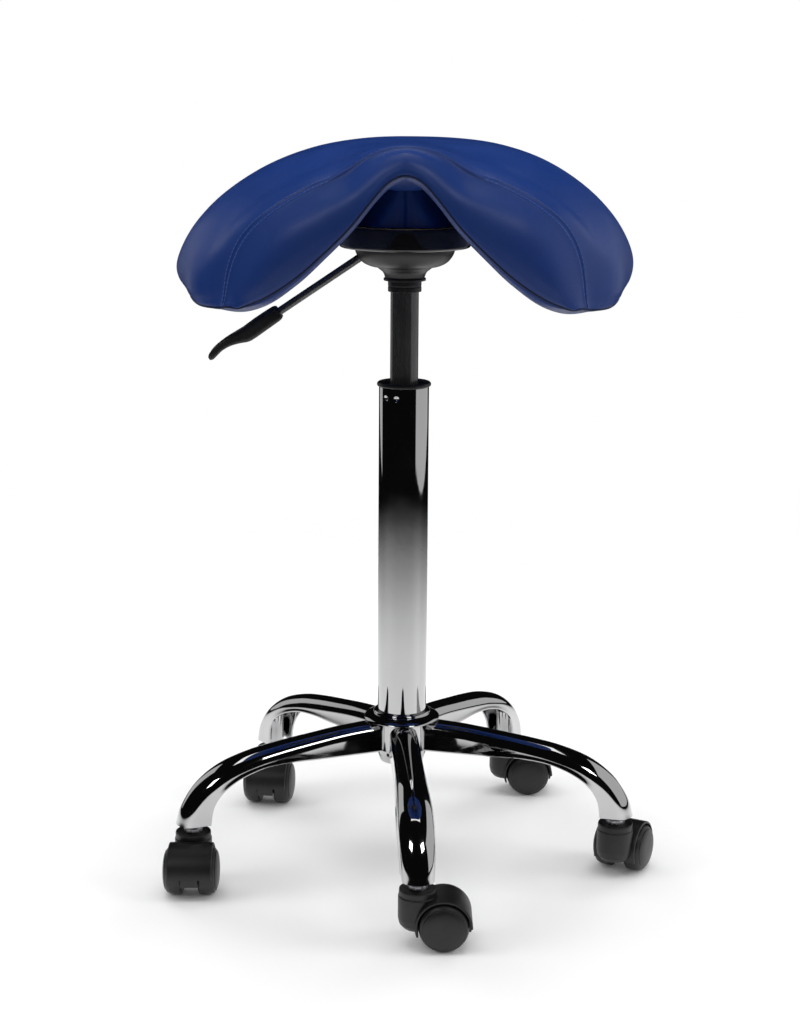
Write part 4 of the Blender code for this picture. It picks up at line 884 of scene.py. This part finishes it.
def eased(value):
    value = np.clip(value, 0, 1)
    return value * value * (3 - 2 * value)


def bell(value, wide):
    return np.exp(-((value / wide) ** 2))


def rolled(share, start, end):
    """Part of the way along a quarter ellipse that leaves its start level and comes down on its end."""
    turn = share * math.pi / 2
    return start + (end - start) * np.array([math.sin(turn), math.sin(turn), 1 - math.cos(turn)])


def band_row(share, seam, edge):
    """The front band between seam and tucked edge: hollow under the seam, then a full roll above the edge."""
    height = np.linalg.norm(edge - seam, axis=1)
    rise = np.clip(height / 0.075, 0.25, 1.0)
    roll = 13.0 * MM * rise * math.sin(math.pi * share**1.2)
    inner = 1 - eased((seam[:, 0] - 0.05) / 0.08)
    hollow = 6.0 * MM * rise * inner * math.sin(math.pi * min(1.0, share / 0.5)) ** 2
    row = seam + (edge - seam) * share
    row[:, 1] -= roll - hollow
    row[:, 2] += 0.35 * roll * (1 - share) * (1 + 0.9 * (1 - inner))
    # The ridge over the middle is rounder: it goes forward first and then down.
    near_middle = np.clip(1 - np.abs(seam[:, 0]) / 0.06, 0, 1)[:, None] ** 1.5
    nose = rolled(share, seam, edge)
    nose[:, 1] -= 3.0 * MM * math.sin(math.pi * share)
    nose[:, 2] -= 3.0 * MM * math.sin(math.pi * min(1.0, share / 0.36)) ** 2
    return row * (1 - near_middle) + nose * near_middle


def curl_row(share, dome, edge):
    """The rear of the top rolls over, backward first and then down."""
    outward = (edge - dome) * (1, 1, 0)
    length = np.maximum(np.linalg.norm(outward, axis=1), 1e-6)[:, None]
    return rolled(share, dome, edge) + outward / length * (4.0 * MM * math.sin(math.pi * share))


def at_stations(rows, places, wanted):
    """Rows at the wanted places, by a smooth curve along each column through the given rows."""
    slopes = np.gradient(rows, places, axis=0)
    result = []
    for place in wanted:
        i = int(np.clip(np.searchsorted(places, place) - 1, 0, len(places) - 2))
        width = places[i + 1] - places[i]
        t = (place - places[i]) / width
        near = (2 * t**3 - 3 * t**2 + 1) * rows[i] + (t**3 - 2 * t**2 + t) * width * slopes[i]
        far = (3 * t**2 - 2 * t**3) * rows[i + 1] + (t**3 - t**2) * width * slopes[i + 1]
        result.append(near + far)
    return np.array(result)


def mirrored(grid):
    """The whole width from the right half, whose first column is the middle."""
    return np.concatenate([grid[:, :0:-1] * (-1, 1, 1), grid], axis=1)


def saddle_shape():
    """Upper and lower grids with a common outline, their stations, and the seam's station."""
    edge, seam, rear = saddle_row(FRONT_EDGE), saddle_row(SEAM), saddle_row(REAR_EDGE)
    tops = [saddle_row(points) for points in TOP_ROWS]
    upper = [edge] + [band_row(share, seam, edge) for share in BAND_SHARES] + [seam, *tops]
    upper += [curl_row(share, tops[-1], rear) for share in (0.25, 0.5, 0.75)]
    upper = np.array(upper + [rear])
    steps = np.linalg.norm(np.diff(upper, axis=0), axis=2).mean(axis=1)
    places = np.concatenate([[0], np.cumsum(steps)])
    seam_place, last = places[1 + len(BAND_SHARES)], places[-1]
    count = round(last / SIM_STEP)
    before = round(count * seam_place / last)
    front = np.linspace(0, seam_place, before + 1)
    stations = np.concatenate([front, np.linspace(seam_place, last, count - before + 1)[1:]])
    upper = at_stations(upper, places, stations)

    unders = [saddle_row(points) for points in UNDER_ROWS]
    outline = upper[:, -1]
    behind = np.maximum.accumulate(outline[:, 1] + 1e-7 * np.arange(len(outline)))
    under_places = [0.0, *[np.interp(row[-1, 1], behind, stations) for row in unders], last]
    lower = at_stations(np.array([edge, *unders, rear]), np.array(under_places), stations)
    share = np.linspace(0, 1, HALF_COLUMNS + 1)[None, :, None]
    lower = lower + (outline - lower[:, -1])[:, None, :] * share**4
    lower[0], lower[-1] = upper[0], upper[-1]
    return mirrored(upper), mirrored(lower), stations, seam_place


def grid_mesh(name, upper, lower):
    """One closed mesh of two grids that share their outline. Returns it and each grid's vertex numbers."""
    rows, columns = upper.shape[:2]
    numbers = np.arange(rows * columns).reshape(rows, columns)
    below = numbers.copy()
    below[1:-1, 1:-1] = rows * columns + np.arange((rows - 2) * (columns - 2)).reshape(rows - 2, columns - 2)
    verts = np.concatenate([upper.reshape(-1, 3), lower[1:-1, 1:-1].reshape(-1, 3)])
    faces = []
    for grid, turn in ((numbers, 1), (below, -1)):
        quads = np.stack([grid[:-1, :-1], grid[:-1, 1:], grid[1:, 1:], grid[1:, :-1]], -1).reshape(-1, 4)
        faces += quads[:, ::turn].tolist()
    mesh = bpy.data.meshes.new(name)
    mesh.from_pydata(verts.tolist(), [], faces)
    mesh.update()
    return mesh, numbers, below


def points_of(mesh):
    flat = np.empty(len(mesh.vertices) * 3)
    mesh.vertices.foreach_get("co", flat)
    return flat.reshape(-1, 3)


def evened(field, times=3):
    """A field over a grid, averaged with its neighbours. Its border stays."""
    for _ in range(times):
        inner = field[1:-1, 1:-1]
        around = field[:-2, 1:-1] + field[2:, 1:-1] + field[1:-1, :-2] + field[1:-1, 2:]
        field[1:-1, 1:-1] = 0.4 * inner + 0.15 * around
    return field


def puffed(upper, lower, stations, seam_place):
    """The cover as stretched cloth over its filling, held along the piping and the front seam."""
    mesh, numbers, below = grid_mesh("saddle_cloth", upper, lower)
    cloth_object = add_mesh("saddle_cloth", mesh)
    held = cloth_object.vertex_groups.new(name="held")
    border = np.concatenate([numbers[0], numbers[-1], numbers[:, 0], numbers[:, -1]])
    held.add(np.unique(border).tolist(), 1.0, "REPLACE")
    seam_row = numbers[int(np.argmin(np.abs(stations - seam_place)))]
    held.add(seam_row.tolist(), 0.6, "REPLACE")
    cloth = cloth_object.modifiers.new("cloth", "CLOTH")
    vinyl = {"tension_stiffness": 25, "compression_stiffness": 25, "shear_stiffness": 12}
    pressure = {"use_pressure": True, "uniform_pressure_force": 4.0}
    set_all(cloth.settings, quality=6, mass=0.4, bending_stiffness=2.0, **vinyl, **pressure)
    cloth.settings.vertex_group_mass = "held"
    cloth.settings.effector_weights.gravity = 0
    cloth.collision_settings.use_collision = False
    scene = bpy.context.scene
    before = points_of(mesh)
    for frame_number in range(1, CLOTH_FRAMES + 1):
        scene.frame_set(frame_number)
    evaluated = cloth_object.evaluated_get(bpy.context.evaluated_depsgraph_get())
    moved = points_of(evaluated.to_mesh()) - before
    evaluated.to_mesh_clear()
    scene.frame_set(1)
    bpy.data.objects.remove(cloth_object, do_unlink=True)
    length = np.linalg.norm(moved, axis=1)
    moved *= (np.minimum(length, PUFF_LIMIT) / np.maximum(length, 1e-9))[:, None]
    return upper + evened(moved[numbers]), lower + evened(moved[below])


def finer_columns(grid):
    """Splits each column in two with a smooth curve across the saddle."""
    places = np.arange(grid.shape[1], dtype=float)
    wanted = np.linspace(0, places[-1], (len(places) - 1) * COLUMN_SPLIT + 1)
    return at_stations(grid.transpose(1, 0, 2), places, wanted).transpose(1, 0, 2)


def fine_stations(last, seam_place):
    """Places of the fine rows: closer together beside the seam."""
    spread = np.arange(-SEAM_REACH, SEAM_REACH + SEAM_STEP / 2, SEAM_STEP) + seam_place
    before = np.linspace(0, spread[0], round(spread[0] / FINE_STEP) + 1)[:-1]
    after = np.linspace(spread[-1], last, round((last - spread[-1]) / FINE_STEP) + 1)[1:]
    return np.concatenate([before, spread, after])


def outline_distance(grid):
    """Distance of each point from the piped outline, along its row and its column."""
    along = np.cumsum(np.linalg.norm(np.diff(grid, axis=1, prepend=grid[:, :1]), axis=2), axis=1)
    down = np.cumsum(np.linalg.norm(np.diff(grid, axis=0, prepend=grid[:1]), axis=2), axis=0)
    sides = np.minimum(along, along[:, -1:] - along)
    return np.minimum(sides, np.minimum(down, down[-1:] - down))


def raised(grid, depth):
    """The grid moved along its normals by a depth that is nothing on the outline."""
    depth[0], depth[-1], depth[:, 0], depth[:, -1] = 0, 0, 0, 0
    normal = np.cross(np.gradient(grid, axis=1), np.gradient(grid, axis=0))
    normal /= np.maximum(np.linalg.norm(normal, axis=2), 1e-12)[:, :, None]
    return grid + normal * depth[:, :, None]


def make_saddle():
    upper, lower, stations, seam_place = saddle_shape()
    upper, lower = puffed(upper, lower, stations, seam_place)
    wanted = fine_stations(stations[-1], seam_place)
    upper = finer_columns(at_stations(upper, stations, wanted))
    lower = finer_columns(at_stations(lower, stations, wanted))
    lower[0], lower[-1], lower[:, 0], lower[:, -1] = upper[0], upper[-1], upper[:, 0], upper[:, -1]

    distance = outline_distance(upper)
    side = upper[:, :, 0] / LEAN_X
    upper[:, :, 2] += LEAN * np.sign(side) * eased(np.abs(side)) * eased(distance / 0.05)

    # Stitched seam: a narrow groove with the two panels swelling beside it, fading out over the ridge.
    x, y = np.abs(upper[:, :, 0]), upper[:, :, 1]
    away = (wanted - seam_place)[:, None]
    sewn = np.clip((x - 0.06) / 0.03, 0.0, 1.0)
    lips = bell(np.abs(away) - 3.4 * MM, 1.8 * MM)
    groove = 0.25 * MM * lips - 0.8 * MM * bell(away, 1.2 * MM)
    ridge = 1.3 * MM * bell(away, 2.4 * MM) * (1 - sewn)
    # Slight drag lines, where the vinyl is pulled over the lobes towards the edge.
    pulled = bell(distance, 26 * MM) * np.clip((x - 0.08) / 0.08, 0, 1)
    drag = 0.22 * MM * pulled * np.sin(y * 310 + 2.2 * np.sin(x * 70)) * np.sin(y * 95 + 1.3)
    tuck = 0.8 * MM * bell(distance - 3.4 * MM, 2.2 * MM)
    upper = raised(upper, groove * sewn + ridge + drag + tuck)
    lower = raised(lower, -1.0 * MM * bell(outline_distance(lower) - 3.0 * MM, 2.0 * MM))

    bm = bmesh.new()
    bm.from_mesh(grid_mesh("saddle_grid", upper, lower)[0])
    cover = add_mesh("saddle_cover", mesh_from(bm, "saddle_cover", sharp=75))
    show(cover, "seat", VINYL, ["seat_cushion"])
    make_piping(upper)
    make_stitches(upper, wanted, seam_place, cover)


def make_piping(upper):
    """Thin welt in the edge all round, where the top and the underside are sewn together."""
    outline = np.concatenate([upper[0], upper[1:-1, -1], upper[-1, ::-1], upper[-2:0:-1, 0]])
    kept = [Vector(outline[0])]
    for point in outline[1:]:
        if (Vector(point) - kept[-1]).length > 2.2 * MM:
            kept.append(Vector(point))
    for _ in range(3):
        kept = [(kept[i - 1] + kept[i] * 2 + kept[(i + 1) % len(kept)]) / 4 for i in range(len(kept))]
    piping = add_mesh("edge_piping", tube_mesh("edge_piping", kept, PIPING_RADIUS, 12, closed=True))
    # The piping is painted dark, as painted shade along the seat's edge.
    show(piping, "seat", SHADOW_LINE_VINYL)


def make_stitches(upper, places, seam_place, cover):
    """A row of short stitches on both sides of the front seam, lying on the cover."""
    tree = BVHTree.FromObject(cover, bpy.context.evaluated_depsgraph_get())
    bm = bmesh.new()
    for offset in (-STITCH_OFFSET, STITCH_OFFSET):
        line = at_stations(upper, places, [seam_place + offset])[0]
        along = lengths(line)
        for first in np.arange(STITCH_PITCH / 2, along[-1] - STITCH_PITCH, STITCH_PITCH):
            places_along = (first, first + STITCH_LENGTH)
            start, end = (Vector([np.interp(s, along, column) for column in line.T]) for s in places_along)
            if abs(start.x) < FIRST_STITCH_X:
                continue
            path = []
            for t, lift in ((0, -0.3), (0.15, 0.25), (0.5, 0.4), (0.85, 0.25), (1, -0.3)):
                place, normal, _, _ = tree.find_nearest(start.lerp(end, t))
                path.append(place + normal * lift * STITCH_RADIUS)
            stitch = tube_mesh("stitch", path, STITCH_RADIUS, 8)
            bm.from_mesh(stitch)
            bpy.data.meshes.remove(stitch)
    mesh = bpy.data.meshes.new("seam_stitches")
    bm.to_mesh(mesh)
    bm.free()
    mesh.shade_smooth()
    show(add_mesh("seam_stitches", mesh), "seat", THREAD)


# Pleats beside the keel's middle, in millimetres: place, depth and width.
PLEATS = [(0, 2.4, 1.3), (7, 1.0, 1.4), (14, 0.7, 1.6)]


def keel_section(share, low, high, height):
    """Half wedge front and rear with flanks that flare out to the full width at the sides."""
    foot, crown = high.x, 0.61 * high.x
    half = foot + (crown - foot) * share - 2.5 * MM * math.sin(math.pi * share)
    deep = high.y - 3.0 * MM * share
    flat = (0.50 - 0.34 * share) * high.x
    corners = [(0, -deep), (0.6 * flat, -deep + 0.4 * MM), (flat, -deep + 2.5 * MM)]
    corners += [(flat + 0.28 * (half - flat), -0.80 * deep), (flat + 0.68 * (half - flat), -0.52 * deep)]
    corners += [(0.97 * half, -0.22 * deep), (half, 0)]
    quarter = through(corners, 41)
    x = quarter[:, 0].copy()
    pleats = sum(deep * MM * bell(x - at * MM * (1.15 - 0.5 * share), wide * MM) for at, deep, wide in PLEATS)
    quarter[:, 1] += pleats * np.maximum(0.0, 1 - x / (1.6 * flat))
    right = np.concatenate([quarter, quarter[-2::-1] * (1, -1)])
    ring = np.concatenate([right, right[-2:0:-1] * (-1, 1)])
    return [Vector((x, y, low.z + CLEARANCE + height)) for x, y in ring]


def make_keel():
    """Upholstered keel on the board: a pleated wedge front and rear between flanks that close the arch."""
    low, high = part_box("seat_block")
    tall = high.z - low.z + 3.0 * MM
    sections = [keel_section(share, low, high, share * tall) for share in np.linspace(0, 1, 25)]
    keel = loft("keel_cover", sections, sharp=50)
    # The keel's vinyl is painted a little darker, as painted shade under the seat.
    show(keel, "seat", SHADED_VINYL, ["seat_block"])
    hem = [point + Vector((0, 0, 0.0008)) for point in sections[0][::2]]
    welt = add_mesh("keel_hem", tube_mesh("keel_hem", hem, 0.0009, 10, closed=True))
    show(welt, "seat", VINYL)


# ---- pieces that keep their CAD shape


def dress_frame_nodes():
    lift = ["thrust_bearing", "piston_rod", "retaining_clip", "release_pin"]
    looks = {
        STEEL: [*lift, "taper_socket", "lever_pivot"],
        RUBBER: ["bump_stop", "rod_seal"],
        PLYWOOD: ["seat_board"],
        DARK_STEEL: [f"plate_screw_{k}" for k in range(1, 5)],
    }
    for k in CASTERS:
        looks[STEEL] += [f"caster_stem_{k}", f"caster_axle_{k}"]
    for material, nodes in looks.items():
        for node in nodes:
            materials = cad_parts[node].data.materials
            materials.clear()
            materials.append(material)


# ---- stage


def pale_floor():
    """A pale matt floor that fades into the pale surroundings further out."""
    look = Look("pale_floor", (0.97, 0.97, 0.97), 0.55)
    look.sheen(look.noise(3, 2), 0.5, 0.6)
    length = look.tree.nodes.new("ShaderNodeVectorMath")
    length.operation = "LENGTH"
    feed(look.tree, length.inputs, {0: look.place})
    fade = look.map(length.outputs["Value"], 1.0, 0.0, 0.40, 1.7)
    fade.node.interpolation_type = "SMOOTHSTEP"
    look.finish({"Alpha": fade})
    bm = bmesh.new()
    bmesh.ops.create_circle(bm, cap_ends=True, radius=2.0, segments=96)
    floor = add_mesh("floor", mesh_from(bm, "floor"))
    floor.location = (0, 0, FLOOR - 0.0002)
    floor.data.materials.append(look.material)


def soft_light(name, place, target, size, power):
    light = bpy.data.lights.new(name, "AREA")
    set_all(light, shape="RECTANGLE", size=size[0], size_y=size[1], energy=power)
    obj = bpy.data.objects.new(name, light)
    obj.location = place
    obj.rotation_euler = (Vector(target) - Vector(place)).to_track_quat("-Z", "Y").to_euler()
    bpy.context.scene.collection.objects.link(obj)
    return obj


def fill_light(*how):
    """A light that brightens matt surfaces and leaves no reflection."""
    soft_light(*how).visible_glossy = False


def reflector(name, place, target, size, brightness):
    """A panel that is seen in shiny surfaces only."""
    panel = soft_light(name, place, target, size, brightness * math.pi * size[0] * size[1])
    panel.visible_diffuse = False


def surroundings():
    """Pale surroundings as they are seen directly, dim to matt surfaces and dark in reflections."""
    world = bpy.data.worlds.new("studio")
    bpy.context.scene.world = world
    world.use_nodes = True
    tree = world.node_tree
    path = tree.nodes.new("ShaderNodeLightPath")

    def chosen(fact, no, yes):
        """The strength for rays that don't have this property, and for those that do."""
        node = tree.nodes.new("ShaderNodeMix")
        feed(tree, node.inputs, {"Factor": path.outputs[fact], "A": no, "B": yes})
        return node.outputs["Result"]

    strength = chosen("Is Camera Ray", chosen("Is Glossy Ray", 0.30, 0.004), 1.0)
    feed(tree, tree.nodes["Background"].inputs, {"Color": (1, 1, 1, 1), "Strength": strength})


def make_lights():
    middle = (0, 0, 0.30)
    fill_light("overhead", (0, 0.1, 2.3), (0, 0, 0.2), (2.2, 2.2), 38)
    fill_light("left_fill", (-1.9, -0.5, 1.1), middle, (0.9, 1.9), 16)
    fill_light("right_fill", (1.9, -0.3, 1.0), middle, (0.8, 1.9), 16)
    fill_light("rear_left", (-1.3, 1.7, 1.0), middle, (1.2, 1.8), 14)
    fill_light("rear_right", (1.3, 1.7, 1.0), middle, (1.2, 1.8), 14)
    fill_light("front_fill", (0, -2.4, 1.5), middle, (1.8, 1.2), 8)
    reflector("overhead_panel", (0, 0.3, 2.2), (0, 0, 0.2), (1.3, 0.9), 1.5)
    reflector("left_high", (-1.1, -1.5, 1.9), middle, (0.6, 0.5), 7.0)
    reflector("right_high", (1.1, -1.5, 1.9), middle, (0.6, 0.5), 7.0)
    height = FLOOR + 0.80
    reflector("right_panel", (1.3, 0.36, height), (0, 0.36, height), (2.4, 1.4), 0.62)
    reflector("left_panel", (-1.3, 1.25, height), (0, 1.25, height), (1.2, 1.4), 0.62)


def make_camera():
    camera = bpy.data.objects.new("camera", bpy.data.cameras.new("camera"))
    camera.data.lens = 70.56
    camera.data.sensor_width = 36
    place = Matrix.Translation((-0.0032, -1.982, 0.7087))
    pitch = Matrix.Rotation(math.radians(77.43), 4, "X")
    roll = Matrix.Rotation(math.radians(0.38), 4, "Z")
    camera.matrix_world = place @ pitch @ roll
    bpy.context.scene.collection.objects.link(camera)
    bpy.context.scene.camera = camera


for make_base_piece in (make_hub, make_collar, make_arms, make_sockets, make_column, make_bush):
    make_base_piece()
for make_lift_piece in (make_cylinder, make_neck, make_bowl, make_plate, make_lever_rod, make_lever_grip):
    make_lift_piece()
make_casters()
make_saddle()
make_keel()
dress_frame_nodes()
pale_floor()
surroundings()
make_lights()
make_camera()
bpy.context.scene.view_settings.view_transform = "Standard"
